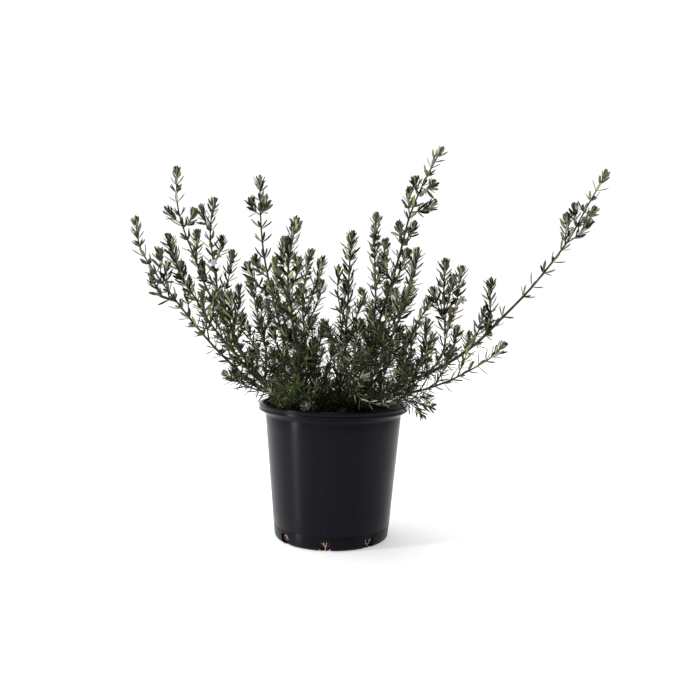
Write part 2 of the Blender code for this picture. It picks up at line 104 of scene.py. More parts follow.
# Stems
ROOT_DEPTH = 15.0
ROOT_LIFT = 9.0
STEEPEST_LEAN = 0.75
SIDE_RADIUS = 1.3
FORK_SHARE = 0.62
TIP_RADIUS = 0.75
BUD_LENGTH = 2.2
TIP_LEAVES_REACH = 8.0
SIDE_BARE = 6.0
SIDE_SPACING = 0.85
SIDE_TUFTS = 0.5
STEM_SIDES = 8
TWIG_SIDES = 5
TWIG_SPACING = 0.65
LONG_TWIGS = (12, 46)
LONG_TWIG_SHARE = 0.11
LONG_TWIG_LEAVES = 0.85
TUFTS = (2.0, 6.0)
TUFT_SHARE = 0.27
INNER_TUFT_LOSS = 0.1
TUFT_LEAVES = 0.72
TUFTS_FROM_TIP = 26
RING_SPACING = 2.6
KNOT_SWELL = 0.2
FULL_AGE = 600.0
DRY_AGE = 0.87
BARK_LEFT = 0.9
BARK_WIDTH = 0.09

# Leaves: their spacing, length and spread at each distance from the stem's tip, the distances at
# which they reach each age, and the shares of whorls that older stems keep
TIP_DISTANCES = (0, 3, 8, 18, 40, 120, 220, 340)
LEAF_SPACINGS = (1.6, 2.6, 5.0, 10.0, 14.0, 16.0, 15.0, 13.0)
LEAF_LENGTHS = (8.0, 11.5, 14.0, 15.5, 16.5, 17.0, 16.5, 15.0)
LEAF_SPREADS = (15, 29, 39, 45, 48, 52, 58, 66)
AGE_DISTANCES = (0, 8, 30, 80, 180, 320)
LOSS_DISTANCES = (150, 300, 450)
WHORLS_KEPT = (1, 0.85, 0.55)
LEAF_WIDTH = 4.25
LONG_LEAF = 17
SLIM_WIDTH = 2.7
LEAF_THICKNESS = 0.85
LEAF_LIFT = 0.06
LEAF_SINK = 0.45
LEAF_SHARP_ANGLE = math.radians(80)

# Leaves in the thicket, the shrub's dark middle, are older, slimmer, closer and spread wider. Being older
# they take the darker colours of the oldest looks, which is partly painted shade for the shrub's shaded
# middle
THICKET_HALF_WIDTH = 180
THICKET_HEIGHT = 230
THICKET_FALL = 80
INNER_SPREAD = 20.0
INNER_SLIMMING = 0.54
INNER_CROWDING = 0.4
INNER_BEND = 0.15
INNER_AGE_AND_SHADE = 3.2

# How much leaves and the gaps between their whorls differ by chance
PLACE_SCATTER = 0.8
TURN_SCATTER = 0.25
SPREAD_SCATTER = 8
INNER_SCATTER = 6
TWIST_SCATTER = 0.35
AGE_SCATTER = 0.8
LENGTH_SHARES = (0.82, 1.12)
WIDTH_SHARES = (0.8, 1.1)
BENDS = (-0.04, 0.2)
STEP_SHARES = (0.88, 1.12)

# Keeping clear of the pot and inside the box
BARE_BY_POT = 6.0
POT_CLEARANCE = 2.0
BOX_MARGIN = 1.0
SHORTENINGS = (1, 0.85, 0.7, 0.55)

# A leaf's place in the map: a column for its tone and a row for its look
TONES = 8
PLAIN_TONES = range(6)
SUNNY_TONES = (6, 7)
SUNNY_SHARE = 0.14
YOUNG_REACH = 30
LOOKS = 9
PALE_WITH_HIGHLIGHT, GRASS, DEAD = LOOKS - 3, LOOKS - 2, LOOKS - 1
LEAF_SHARE = 0.88
TILE_MARGIN = 0.06

# Colours of the leaves by look: six ages from bud to old, pale, grass-green, and dead leaves. The oldest
# looks are darkened partly as painted shade, since the thicket's leaves take them, and the pale look is
# raised partly as a painted highlight
UPPER_COLOURS = (
    (0.095, 0.115, 0.040),
    (0.046, 0.056, 0.022),
    (0.024, 0.030, 0.012),
    (0.016, 0.022, 0.006),
    # the two oldest looks: darkened partly as painted shade for the thicket
    (0.011, 0.016, 0.003),
    (0.008, 0.013, 0.002),
    # pale leaves of dry twigs: their own pale colour, raised partly as a painted highlight
    (0.28, 0.30, 0.19),
    (0.052, 0.078, 0.018),
    (0.28, 0.165, 0.09),
)
UNDER_COLOURS = (
    (0.25, 0.265, 0.135),
    (0.31, 0.325, 0.205),
    (0.36, 0.365, 0.25),
    (0.29, 0.31, 0.165),
    # the two oldest looks: darkened partly as painted shade for the thicket
    (0.21, 0.235, 0.085),
    (0.165, 0.19, 0.05),
    # pale leaves of dry twigs: their own pale colour, raised partly as a painted highlight
    (0.62, 0.64, 0.50),
    (0.145, 0.185, 0.06),
    (0.45, 0.30, 0.18),
)
SUNNY_TINT = (1.2, 1.17, 0.82, 1)
LEAF_MOTTLE = (0.045, 0.052, 0.026, 1)
LEAF_MARGIN = (0.34, 0.36, 0.27, 1)
LEAF_GROOVE = (0.015, 0.02, 0.01, 1)
FELT_RIB = (0.26, 0.28, 0.19, 1)
LEAF_BASE = (0.30, 0.32, 0.18, 1)
LEAF_SHADES = ((0.0, 0.22), (0.6, 0.88), (1.0, 1.7))
BARK_COLOURS = (
    (0.0, (0.115, 0.125, 0.080)),
    (0.03, (0.078, 0.082, 0.060)),
    (0.08, (0.055, 0.055, 0.045)),
    (0.30, (0.045, 0.041, 0.034)),
    (0.50, (0.07, 0.048, 0.034)),
    (0.70, (0.10, 0.055, 0.034)),
    (0.84, (0.08, 0.055, 0.04)),
    (0.87, (0.34, 0.31, 0.22)),
    (1.0, (0.26, 0.21, 0.14)),
)
BARK_LICHEN = (0.20, 0.20, 0.16, 1)
ROOT_COLOURS = ((0.3, (0.5, 0.4, 0.28)), (0.55, (0.78, 0.71, 0.58)), (0.7, (0.36, 0.25, 0.15)))
POT_BLACK = (0.0016, 0.0015, 0.0034, 1)
POT_DUST = (0.0042, 0.0040, 0.0066, 1)
POT_SCUFF = (0.016, 0.016, 0.018, 1)
PLASTIC_SHEEN = (0.85, 0.87, 1, 1)
SCUFF_ROUGHNESS = (0.6, 0.6, 0.6, 1)
UPPER_ROUGHNESS = (0.48, 0.48, 0.48, 1)
UNDER_ROUGHNESS = (0.9, 0.9, 0.9, 1)
# The mix's browns: its own dark colour, darkened partly as painted shade for the foliage's shadow over it
MIX_BROWNS_AND_SHADE = (
    (0.0, (0.010, 0.006, 0.004)),
    (0.4, (0.028, 0.014, 0.009)),
    (0.75, (0.06, 0.025, 0.014)),
    (1.0, (0.09, 0.05, 0.028)),
)
MIX_FIBRE = (0.16, 0.10, 0.06, 1)
# The chips' browns: their own colour, darkened partly as painted shade for the foliage's shadow over them
CHIP_BROWNS_AND_SHADE = (
    (0.3, (0.011, 0.007, 0.005)),
    (0.5, (0.026, 0.015, 0.010)),
    (0.7, (0.04, 0.026, 0.018)),
)
PETAL_THROAT = (0.55, 0.50, 0.42)
PETAL_INNER = (0.72, 0.68, 0.74)
PETAL_EDGE = (0.66, 0.60, 0.76)
PETAL_VEIN = (0.50, 0.42, 0.66, 1)
PETAL_SPOT = (0.30, 0.14, 0.10, 1)

# Light and camera
ROOM_FRONT = 0.04
ROOM_BACK = 1.05
ROOM_FALL = 2.5
ROOM_RIGHT = 0.05
ROOM_DIM_FROM = 0.35
ROOM_COLOUR = (0.97, 0.98, 1.0)
SEEN_WHITE = 1.05
OVERHEAD = 2.1
OVERHEAD_WAY = (-0.25, 0.2, 1)
OVERHEAD_SPREAD = math.radians(70)
FLOOR_RADIUS = 6000.0
FLOOR_GLOW = 0.5
CAMERA_LENS = 41.01
CAMERA_PLACE = (20.6, -1069.7, 324.6)
CAMERA_PITCH = 0.067
CAMERA_ROLL = 0.020

# Soft boxes: place and size in metres, power and colour, and the point that they all face
SOFT_BOXES = {
    "left_soft_box": ((-1.27, -0.6, 0.62), (0.17, 1.2), 12.6, (1, 0.99, 1)),
    "front_fill": ((-0.9, -1.6, 1.3), (1.6, 1.6), 3, (1, 1, 1)),
    "right_fill": ((1.5, -0.6, 0.6), (1.1, 1.2), 2.0, (0.5, 0.58, 1)),
}
LIGHT_TARGET = (0, 0, 0.25)

Branch = namedtuple(
    "Branch",
    "radius root path side_shoots fine_shoots dry withered pale fresh spacing side_spacing plain look",
    defaults=((), (), (), (), (), (), 1.0, 1.0, (0, 0), None),
)
Twig = namedtuple("Twig", "radius dry reach spacing leaf_width bare size look")
Leaf = namedtuple("Leaf", "root along normal length width bend tone look")

# Each branch leaves the mix at its root and runs through its path to the tip of its last leaf. Its
# shoots and twigs start on it, at the point nearest to their own first point. The fine shoots only
# show as detail. The spacings stretch the gaps between the whorls of the branch and of its shoots,
# and no tufts grow on them between the two heights of plain.
BRANCHES = {
    "far_left": Branch(2.2, (-36, 3), path=(
        (-98, 5, 199), (-131, 8, 222), (-171, 12, 260), (-216, 18, 312), (-251, 20, 358), (-268, 20, 388),
        (-274, 20, 428),
    ), side_shoots=(
        ((-216, 18, 312), (-234, -5, 323), (-246, -12, 350)),
        ((-238, 20, 340), (-243, 34, 362), (-248, 42, 389)),
        ((-233, 20, 334), (-227, 2, 348), (-225, -4, 368)),
    ), fine_shoots=(
        ((-131, 8, 222), (-148, -6, 262), (-160, -14, 300)),
        ((-197, 9, 297), (-198, 2, 318), (-197, -4, 341)),
        ((-171, 12, 260), (-180, 30, 296), (-186, 40, 330)),
    ), side_spacing=1.6),
    "left_high": Branch(2.3, (-25, 14), path=(
        (-98, 28, 205), (-132, 38, 247), (-160, 50, 291), (-186, 60, 337), (-205, 68, 382),
        (-219, 72, 415), (-229, 75, 452), (-231, 78, 505),
    ), side_shoots=(
        ((-222, 72, 422), (-234, 62, 432), (-240, 56, 446)),
        ((-220, 72, 416), (-211, 84, 430), (-208, 90, 449)),
        ((-197, 65, 366), (-203, 85, 388), (-206, 95, 418)),
    ), fine_shoots=(
        ((-98, 28, 206), (-93, 20, 240), (-102, 14, 282), (-117, 8, 348)),
        ((-132, 38, 247), (-146, 22, 290), (-158, 14, 330)),
    ), spacing=1.25),
    "left_front": Branch(2.0, (-27, -9), path=(
        (-90, -28, 206), (-133, -48, 256), (-156, -60, 286), (-171, -68, 313), (-185, -75, 337),
        (-197, -80, 365), (-205, -85, 398),
    ), side_shoots=(
        ((-180, -73, 328), (-186, -90, 343), (-187, -98, 364)),
    ), fine_shoots=(
        ((-133, -48, 256), (-128, -62, 292), (-132, -72, 330)),
        ((-106, -36, 227), (-105, -48, 244), (-107, -54, 259)),
    ), spacing=0.78),
    "left_inner": Branch(2.2, (-24, 29), path=(
        (-98, 50, 205), (-140, 72, 246), (-161, 90, 284), (-175, 104, 329), (-185, 115, 379),
        (-190, 121, 416), (-186, 128, 468),
    ), side_shoots=(
        ((-190, 120, 418), (-198, 112, 434), (-201, 107, 456)),
        ((-184, 114, 371), (-176, 128, 388), (-175, 134, 414)),
        ((-170, 98, 312), (-158, 98, 352), (-153, 104, 391)),
        ((-177, 106, 333), (-192, 94, 348), (-197, 88, 374)),
    ), fine_shoots=(
        ((-98, 50, 205), (-98, 52, 245), (-104, 56, 285), (-108, 60, 325)),
        ((-150, 80, 262), (-140, 66, 300), (-138, 58, 340)),
    ), spacing=0.85),
    "tall_left": Branch(2.3, (-12, 2), path=(
        (-48, -8, 209), (-64, -15, 253), (-72, -20, 284), (-80, -25, 314), (-91, -30, 363),
        (-97, -35, 412), (-99, -39, 478),
    ), side_shoots=(
        ((-99, -37, 426), (-106, -48, 433), (-108, -56, 448)),
        ((-99, -37, 426), (-94, -26, 437), (-93, -20, 454)),
        ((-83, -26, 322), (-102, -48, 340), (-113, -60, 367)),
        ((-88, -29, 346), (-102, -18, 358), (-107, -10, 378)),
    ), fine_shoots=(
        ((-52, -10, 218), (-72, -24, 250), (-82, -40, 285)),
        ((-71, -18, 279), (-84, -10, 297), (-93, -4, 320)),
        ((-51, -6, 214), (-68, 4, 224), (-83, 10, 250)),
    ), dry=(
        ((-62, -14, 249), (-60, -28, 240), (-57, -35, 230), (-49, -36, 218)),
    ), spacing=1.35, plain=(355, 425)),
    "front_left": Branch(2.1, (-5, -17), path=(
        (-38, -55, 217), (-46, -90, 270), (-52, -112, 307), (-54, -130, 342), (-51, -145, 371),
        (-42, -158, 414),
    ), side_shoots=(
        ((-53, -136, 356), (-58, -148, 368), (-58, -155, 389)),
        ((-52, -116, 318), (-64, -108, 338), (-68, -102, 361)),
        ((-53, -122, 328), (-45, -114, 348), (-44, -108, 373)),
    ), fine_shoots=(
        ((-40, -62, 228), (-28, -76, 248), (-24, -86, 270)),
    ), spacing=0.72),
    "back_left": Branch(1.9, (-10, 21), path=(
        (-35, 50, 220), (-46, 78, 275), (-50, 98, 318), (-47, 114, 355), (-39, 124, 395),
    ), side_shoots=(
        ((-47, 84, 288), (-34, 82, 330), (-19, 80, 383)),
        ((-46, 78, 276), (-30, 96, 310), (-21, 108, 348)),
    ), fine_shoots=(
        ((-16, 29, 190), (-8, 40, 225), (-4, 50, 256)),
        ((-35, 50, 220), (-24, 52, 250), (-16, 56, 286)),
        ((-24, 38, 205), (-30, 44, 250), (-36, 50, 296)),
        ((-32, 36, 210), (-22, 42, 231), (-17, 46, 256)),
    ), spacing=0.75, side_spacing=1.25),
    "centre": Branch(2.0, (2, -7), path=(
        (13, -30, 228), (15, -55, 282), (17, -70, 323), (18, -85, 364), (21, -96, 405),
    ), side_shoots=(
        ((15, -58, 288), (5, -76, 322), (4, -86, 363)),
        ((14, -46, 262), (25, -58, 290), (34, -68, 323)),
    ), fine_shoots=(
        ((4, -11, 180), (-6, -24, 205), (-12, -34, 236)),
        ((8, -18, 201), (0, -28, 238), (-6, -36, 287)),
    ), pale=(
        ((14, -48, 268), (8, -66, 252), (14, -72, 232), (20, -72, 222), (26, -73, 211), (34, -74, 198),
         (43, -74, 194), (56, -73, 190), (67, -72, 193), (79, -70, 197)),
    ), spacing=0.7, side_spacing=2.0, plain=(290, 365)),
    "back_centre": Branch(2.0, (10, 20), path=(
        (46, 44, 237), (54, 70, 292), (56, 85, 330), (54, 104, 390), (56, 118, 450),
    ), side_shoots=(
        ((55, 88, 336), (66, 108, 368), (71, 122, 413)),
    ), spacing=0.75),
    "tall_right": Branch(2.4, (14, 5), path=(
        (43, 5, 226), (60, 10, 294), (74, 15, 341), (87, 20, 389), (98, 22, 435), (116, 25, 480),
        (142, 30, 532),
    ), side_shoots=(
        ((110, 24, 465), (105, 14, 474), (104, 9, 488)),
        ((98, 22, 436), (97, 34, 452), (99, 40, 478)),
        ((113, 24, 471), (126, 36, 474), (134, 44, 488)),
        ((99, 22, 439), (119, 10, 444), (131, 4, 456)),
        ((91, 20, 402), (86, 30, 412), (83, 36, 430)),
        ((90, 20, 400), (99, 12, 410), (105, 8, 428)),
    ), fine_shoots=(
        ((44, 5, 230), (44, -8, 270), (46, -14, 312)),
        ((52, 8, 262), (68, -6, 292), (78, -16, 322)),
        ((70, 14, 330), (84, -2, 356), (96, -10, 390)),
    ), spacing=1.12),
    "front_right": Branch(1.9, (17, -16), path=(
        (52, -48, 224), (76, -94, 288), (85, -115, 322), (91, -126, 342), (97, -140, 383),
    ), side_shoots=(
        ((80, -104, 302), (90, -96, 318), (97, -90, 341)),
    ), fine_shoots=(
        ((60, -62, 242), (78, -66, 264), (86, -70, 290)),
    ), spacing=0.9, side_spacing=1.25),
    "right_inner": Branch(2.1, (25, -4), path=(
        (80, -22, 209), (122, -36, 228), (141, -45, 258), (141, -50, 296), (138, -55, 338),
        (139, -60, 376),
    ), side_shoots=(
        ((142, -48, 276), (156, -36, 312), (160, -30, 338), (165, -26, 369)),
        ((140, -51, 303), (128, -64, 318), (121, -74, 339)),
    ), fine_shoots=(
        ((60, -16, 195), (66, -24, 222), (72, -30, 250)),
        ((140, -51, 303), (146, -58, 330), (150, -62, 356)),
        ((84, -23, 211), (98, -30, 250), (104, -36, 290)),
        ((122, -36, 228), (118, -30, 262), (122, -26, 300)),
        ((98, -30, 209), (93, -40, 247), (89, -48, 281)),
    ), withered=(
        ((141, -48, 280), (147, -44, 290), (151, -42, 302)),
        ((141, -49, 287), (150, -42, 300), (157, -40, 313)),
    ), spacing=0.85),
    "back_right": Branch(1.8, (25, 25), path=(
        (65, 54, 218), (100, 88, 254), (117, 108, 284), (128, 119, 301), (142, 131, 328),
    ), fine_shoots=(
        ((84, 72, 238), (88, 70, 262), (92, 72, 288)),
    ), spacing=0.8),
    "far_right": Branch(2.6, (36, 4), path=(
        (73, 7, 192), (106, 10, 212), (152, 15, 235), (192, 20, 263), (224, 25, 295), (270, 30, 344),
        (316, 35, 405), (341, 38, 451), (370, 40, 505),
    ), side_shoots=(
        ((328, 36, 428), (323, 26, 441), (320, 20, 458)),
        ((328, 36, 428), (346, 46, 438), (360, 51, 457)),
        ((313, 35, 402), (317, 46, 422), (320, 52, 448)),
        ((315, 35, 404), (330, 24, 416), (344, 16, 436)),
        ((206, 22, 278), (209, 10, 304), (207, 2, 330), (208, -1, 354)),
        ((184, 20, 257), (200, 34, 286), (209, 46, 316)),
    ), fine_shoots=(
        ((152, 15, 235), (160, 0, 262), (164, -8, 290)),
    ), spacing=1.35, plain=(285, 420)),
    "low_right": Branch(1.8, (33, -13), path=(
        (75, -20, 193), (114, -35, 204), (152, -45, 220), (186, -52, 240), (202, -55, 252),
        (219, -60, 271),
    ), fine_shoots=(
        ((100, -30, 200), (116, -34, 226), (124, -30, 252)),
        ((130, -39, 211), (146, -30, 236), (158, -24, 264)),
        ((161, -46, 222), (171, -40, 253), (176, -34, 284)),
    ), plain=(0, 300)),
    "drooping": Branch(1.5, (26, -27), path=(
        (60, -50, 189), (92, -76, 196), (128, -100, 190),
    ), side_shoots=(
        ((88, -74, 196), (108, -72, 200), (127, -64, 200)),
    ), fine_shoots=(
        ((92, -76, 196), (104, -92, 188), (114, -104, 178)),
    ), dry=(
        ((58, -48, 188), (67, -58, 197), (78, -60, 203), (89, -60, 209), (100, -60, 224)),
    ), spacing=1.3, side_spacing=1.5, plain=(0, 300)),
    "right_front": Branch(1.7, (13, -30), path=(
        (54, -66, 200), (88, -112, 228), (104, -140, 250), (113, -160, 274),
    ), pale=(
        ((70, -88, 214), (72, -98, 224), (80, -108, 240)),
    ), spacing=0.8),
    "low_left": Branch(1.6, (-29, -24), path=(
        (-68, -44, 194), (-104, -72, 208), (-137, -96, 229),
    ), pale=(
        ((-68, -44, 194), (-76, -58, 198), (-84, -66, 208)),
    ), fresh=(
        ((-58, -36, 186), (-64, -70, 193), (-69, -98, 197)),
    )),
    "low_front": Branch(1.6, (-7, -36), path=(
        (-24, -66, 192), (-38, -102, 208), (-46, -150, 224),
    ), fine_shoots=(
        ((-12, -44, 180), (-4, -62, 192), (2, -80, 200)),
    ), pale=(
        ((-24, -62, 190), (-30, -82, 185), (-34, -92, 192)),
    ), look=GRASS),
    "rear_left": Branch(1.9, (-15, 38), path=(
        (-45, 76, 222), (-74, 130, 272), (-94, 172, 326), (-101, 195, 386),
    ), side_shoots=(
        ((-78, 140, 284), (-64, 152, 312), (-56, 160, 345)),
    ), spacing=0.85),
    "rear_right": Branch(1.9, (14, 38), path=(
        (46, 84, 228), (82, 136, 280), (108, 176, 332), (118, 198, 384),
    ), side_shoots=(
        ((88, 146, 292), (80, 164, 318), (74, 174, 350)),
    ), spacing=0.85),
    "rear_middle": Branch(1.7, (0, 40), path=(
        (3, 92, 222), (6, 146, 266), (10, 186, 312), (13, 202, 352),
    ), spacing=0.85, plain=(262, 400)),
    "front_middle": Branch(1.7, (5, -29), path=(
        (18, -76, 210), (25, -122, 248), (30, -160, 300),
    ), fine_shoots=(
        ((9, -41, 177), (18, -56, 192), (26, -72, 204)),
    ), pale=(
        ((18, -76, 210), (30, -84, 222), (44, -90, 228)),
    )),
    "front_corner": Branch(1.8, (-17, -24), path=(
        (-56, -70, 212), (-88, -112, 250), (-103, -140, 292),
    ), fine_shoots=(
        ((-55, -70, 212), (-62, -72, 231), (-66, -74, 256)),
    ), spacing=1.15),
}

# How the leafy twigs of each sort grow
TWIGS = {
    "withered": Twig(0.8, True, 2, spacing=1.5, leaf_width=0.8, bare=SIDE_BARE, size=0.6, look=DEAD),
    # pale twigs are dry, and their leaves' pale colour is raised partly as a painted highlight
    "pale": Twig(0.6, True, 4, spacing=1.5, leaf_width=1.1, bare=SIDE_BARE, size=0.9, look=PALE_WITH_HIGHLIGHT),
    "fresh": Twig(0.8, False, 4, spacing=0.4, leaf_width=0.85, bare=1.0, size=0.9, look=GRASS),
}
DRY_TWIG_RADIUS = 0.9
DRY_TWIG_REACH = 0.5

# Flowers: where each sits and the way it faces
FLOWERS = (((-183, 108, 371), (-0.25, -1.0, 0.35)), ((166, -29, 324), (0.3, -1.0, 0.25)))
FLOWER_RADIUS = 6.5
FLOWER_TURNS = 60
FLOWER_RINGS = 9
PETAL_THICKNESS = 0.25

# Pale roots in the drain holes: each hole's strands as (across, up) points
ROOT_STRANDS = {
    0: (
        ((0, 1), (1.2, 4), (0.6, 7), (-1.5, 9.5), (-4, 10.5)),
        ((0.6, 7), (2.2, 9), (2.6, 12)),
        ((-1.5, 9.5), (-1, 12)),
    ),
    7: (((-3, 11), (0.5, 12), (3, 9.5), (4, 5.5)), ((0.5, 12), (1.5, 8))),
    1: (
        ((-4, 12), (-3.4, 8), (-1, 5.5), (0.5, 2)),
        ((-1, 5.5), (1.6, 7), (2.4, 11)),
        ((4, 9), (4.4, 12)),
    ),
    2: (((-4, 2), (0, 6), (4, 11)),),
    3: (((-3, 12), (0, 7), (-1, 1)), ((0, 7), (4, 4))),
    4: (((-5, 8), (0, 10), (5, 7)),),
    5: (((4, 1), (1, 6), (-3, 12)),),
    6: (((-4, 12), (0, 8), (3, 2)), ((0, 8), (4, 11))),
}
ROOT_WIDTH = 0.5
ROOT_SIDES = 6
LOWEST_ROOT = 2.6


def unit(vector):
    return vector / np.linalg.norm(vector, axis=-1, keepdims=True)


def linked(name, data):
    """A new object in the scene."""
    obj = bpy.data.objects.new(name, data)
    bpy.context.scene.collection.objects.link(obj)
    return obj


def apply_modifier(obj, kind, **settings):
    """Gives the object the mesh that a modifier makes of it."""
    modifier = obj.modifiers.new(kind, kind)
    for key, value in settings.items():
        setattr(modifier, key, value)
    graph = bpy.context.evaluated_depsgraph_get()
    mesh = bpy.data.meshes.new_from_object(obj.evaluated_get(graph))
    obj.modifiers.clear()
    obj.data = mesh


class Faces:
    """The corners and faces of one piece, with a map and a material slot for each face."""

    def __init__(self):
        self.count = 0
        self.corners = []
        self.faces = {3: [], 4: []}
        self.maps = {3: [], 4: []}
        self.slots = {3: [], 4: []}

    def add_corners(self, corners):
        start = self.count
        self.corners.append(corners)
        self.count += len(corners)
        return start

    def add_faces(self, faces, face_map, slot):
        sides = faces.shape[-1]
        self.faces[sides].append(faces.reshape(-1, sides))
        self.maps[sides].append(face_map.reshape(-1, sides, 2))
        self.slots[sides].append(np.full(faces.size // sides, slot))

    def to_object(self, name, materials):
        quads, tris = (np.concatenate(self.faces[sides]) for sides in (4, 3))
        maps = np.concatenate([np.concatenate(self.maps[sides]).reshape(-1, 2) for sides in (4, 3)])
        slots = np.concatenate([np.concatenate(self.slots[sides]) for sides in (4, 3)])
        starts = np.concatenate([np.arange(len(quads)) * 4, quads.size + np.arange(len(tris)) * 3])
        loops = np.concatenate([quads.ravel(), tris.ravel()])
        mesh = bpy.data.meshes.new(name)
        mesh.vertices.add(self.count)
        mesh.vertices.foreach_set("co", np.concatenate(self.corners).astype(np.float32).ravel() * MM)
        mesh.loops.add(len(loops))
        mesh.loops.foreach_set("vertex_index", loops.astype(np.int32))
        mesh.polygons.add(len(starts))
        mesh.polygons.foreach_set("loop_start", starts.astype(np.int32))
        mesh.polygons.foreach_set("material_index", slots.astype(np.int32))
        for layer in ("place", "OFBake"):
            mesh.uv_layers.new(name=layer).data.foreach_set("uv", maps.astype(np.float32).ravel())
        mesh.update(calc_edges=True)
        mesh.shade_smooth()
        mesh.set_sharp_from_angle(angle=LEAF_SHARP_ANGLE)
        for material in materials:
            mesh.materials.append(material)
        return linked(name, mesh)


def smooth_path(points, spacing):
    """Points along a smooth curve through the given ones, about the spacing apart."""
    points = [np.array(point, float) for point in points]
    ends = [2 * points[0] - points[1], *points, 2 * points[-1] - points[-2]]
    path = [points[0]]
    for before, start, end, after in zip(ends, ends[1:], ends[2:], ends[3:]):
        count = max(1, round(np.linalg.norm(end - start) / spacing))
        for step in range(1, count + 1):
            t = step / count
            path.append(
                0.5
                * (
                    2 * start
                    + (end - before) * t
                    + (2 * before - 5 * start + 4 * end - after) * t**2
                    + (3 * start - before - 3 * end + after) * t**3
                )
            )
    return np.array(path)


class Stem:
    """A stem's middle line, from its root to its bud, with its frames and radii."""

    def __init__(self, points, radius, sides=STEM_SIDES, bare=0.0, dry=False, spacing=1.0):
        self.points = points
        steps = np.linalg.norm(np.diff(points, axis=0), axis=1)
        self.places = np.concatenate([[0], np.cumsum(steps)])
        self.length = self.places[-1]
        self.radii = TIP_RADIUS + (radius - TIP_RADIUS) * (1 - self.places / self.length) ** 0.9
        if radius < TIP_RADIUS:
            self.radii = radius * (1 - 0.4 * self.places / self.length)
        self.tangents = unit(np.gradient(points, axis=0))
        self.normals = np.empty_like(points)
        normal = np.cross(self.tangents[0], (0.3, 1, 0.2))
        for index, tangent in enumerate(self.tangents):
            normal = unit(normal - tangent * (normal @ tangent))
            self.normals[index] = normal
        self.sides = sides
        self.bare = bare
        self.dry = dry
        self.spacing = spacing
        self.leaf_width = 1.0

    def shortened(self, cut_length):
        """The points of the line without that much of its far end."""
        kept = self.places < self.length - cut_length - 0.5
        end, _ = self.on_line(self.length - cut_length)
        return np.vstack([self.points[kept], end])

    def on_line(self, place):
        index = int(np.clip(np.searchsorted(self.places, place) - 1, 0, len(self.places) - 2))
        share = (place - self.places[index]) / (self.places[index + 1] - self.places[index])
        return self.points[index] + share * (self.points[index + 1] - self.points[index]), index

    def at(self, place):
        """The middle, tangent, normal and binormal at a distance from the root, and the radius."""
        middle, index = self.on_line(place)
        tangent, normal = self.tangents[index], self.normals[index]
        return middle, tangent, normal, np.cross(tangent, normal), self.radii[index]

    def nearest(self, wanted):
        return self.places[np.argmin(np.linalg.norm(self.points - wanted, axis=1))]

    def add_to(self, faces, knots=()):
        """The stem's bark, a little thicker at its knots, with its bud and its closed root end."""
        radii = self.radii.copy()
        for knot in knots:
            radii += KNOT_SWELL * radii * np.exp(-(((self.places - knot) / 2.0) ** 2))
        if self.sides == STEM_SIDES:
            radii *= 1 + 0.3 * np.exp(-np.maximum(self.places - self.bare, 0) / 9)
        turns = math.tau * np.arange(self.sides) / self.sides
        binormals = np.cross(self.tangents, self.normals)
        ways = (
            self.normals[:, None] * np.cos(turns)[:, None] + binormals[:, None] * np.sin(turns)[:, None]
        )
        rings = self.points[:, None] + ways * radii[:, None, None]
        bud = self.points[-1] + self.tangents[-1] * BUD_LENGTH
        cap = self.points[0] - self.tangents[0] * 0.3
        start = faces.add_corners(np.vstack([rings.reshape(-1, 3), bud, cap]))
        ring, side = np.meshgrid(np.arange(len(rings) - 1), np.arange(self.sides), indexing="ij")
        following = (side + 1) % self.sides
        low, high = start + ring * self.sides, start + (ring + 1) * self.sides
        quads = np.stack([low + side, low + following, high + following, high + side], axis=-1)
        from_tip = self.length - self.places + BUD_LENGTH + 1
        ages = from_tip / FULL_AGE
        if self.dry:
            ages = DRY_AGE + ages / 2
        left, right = (BARK_LEFT + BARK_WIDTH * (side + end) / self.sides for end in (0, 1))
        below, above = ages[ring], ages[ring + 1]
        around = ((left, below), (right, below), (right, above), (left, above))
        quad_map = np.stack([np.stack(pair, axis=-1) for pair in around], axis=-2)
        faces.add_faces(quads, quad_map, 0)
        side = np.arange(self.sides)
        following = (side + 1) % self.sides
        last = start + (len(rings) - 1) * self.sides
        for tip, ring_start, age, way in (
            (start + len(rings) * self.sides, last, ages[-1], -1),
            (start + len(rings) * self.sides + 1, start, ages[0], 1),
        ):
            pair = (side, following) if way < 0 else (following, side)
            tris = np.stack([ring_start + pair[0], ring_start + pair[1], np.full_like(side, tip)], axis=-1)
            near = np.full(self.sides, age)
            far = near + way * 0.8 * BUD_LENGTH / FULL_AGE / (2 if self.dry else 1)
            ends = [BARK_LEFT + BARK_WIDTH * (side + share) / self.sides for share in (0, 1, 0.5)]
            if way > 0:
                ends[0], ends[1] = ends[1], ends[0]
            tri_map = np.stack(
                [np.stack([end, age_], axis=-1) for end, age_ in zip(ends, (near, near, far))], axis=-2
            )
            faces.add_faces(tris, tri_map, 0)


# The rings of a broad leaf and of a slim one: how far along, how wide and how thick
BROAD_RINGS = np.array(((0.0, 0.28, 0.9), (0.24, 0.84, 1.0), (0.64, 1.0, 1.0), (0.93, 0.58, 0.7)))
SLIM_RINGS = np.array(((0.0, 0.35, 0.9), (0.34, 1.0, 1.0), (0.84, 0.78, 0.8)))
LEFT, TOP, RIGHT, BOTTOM = range(4)


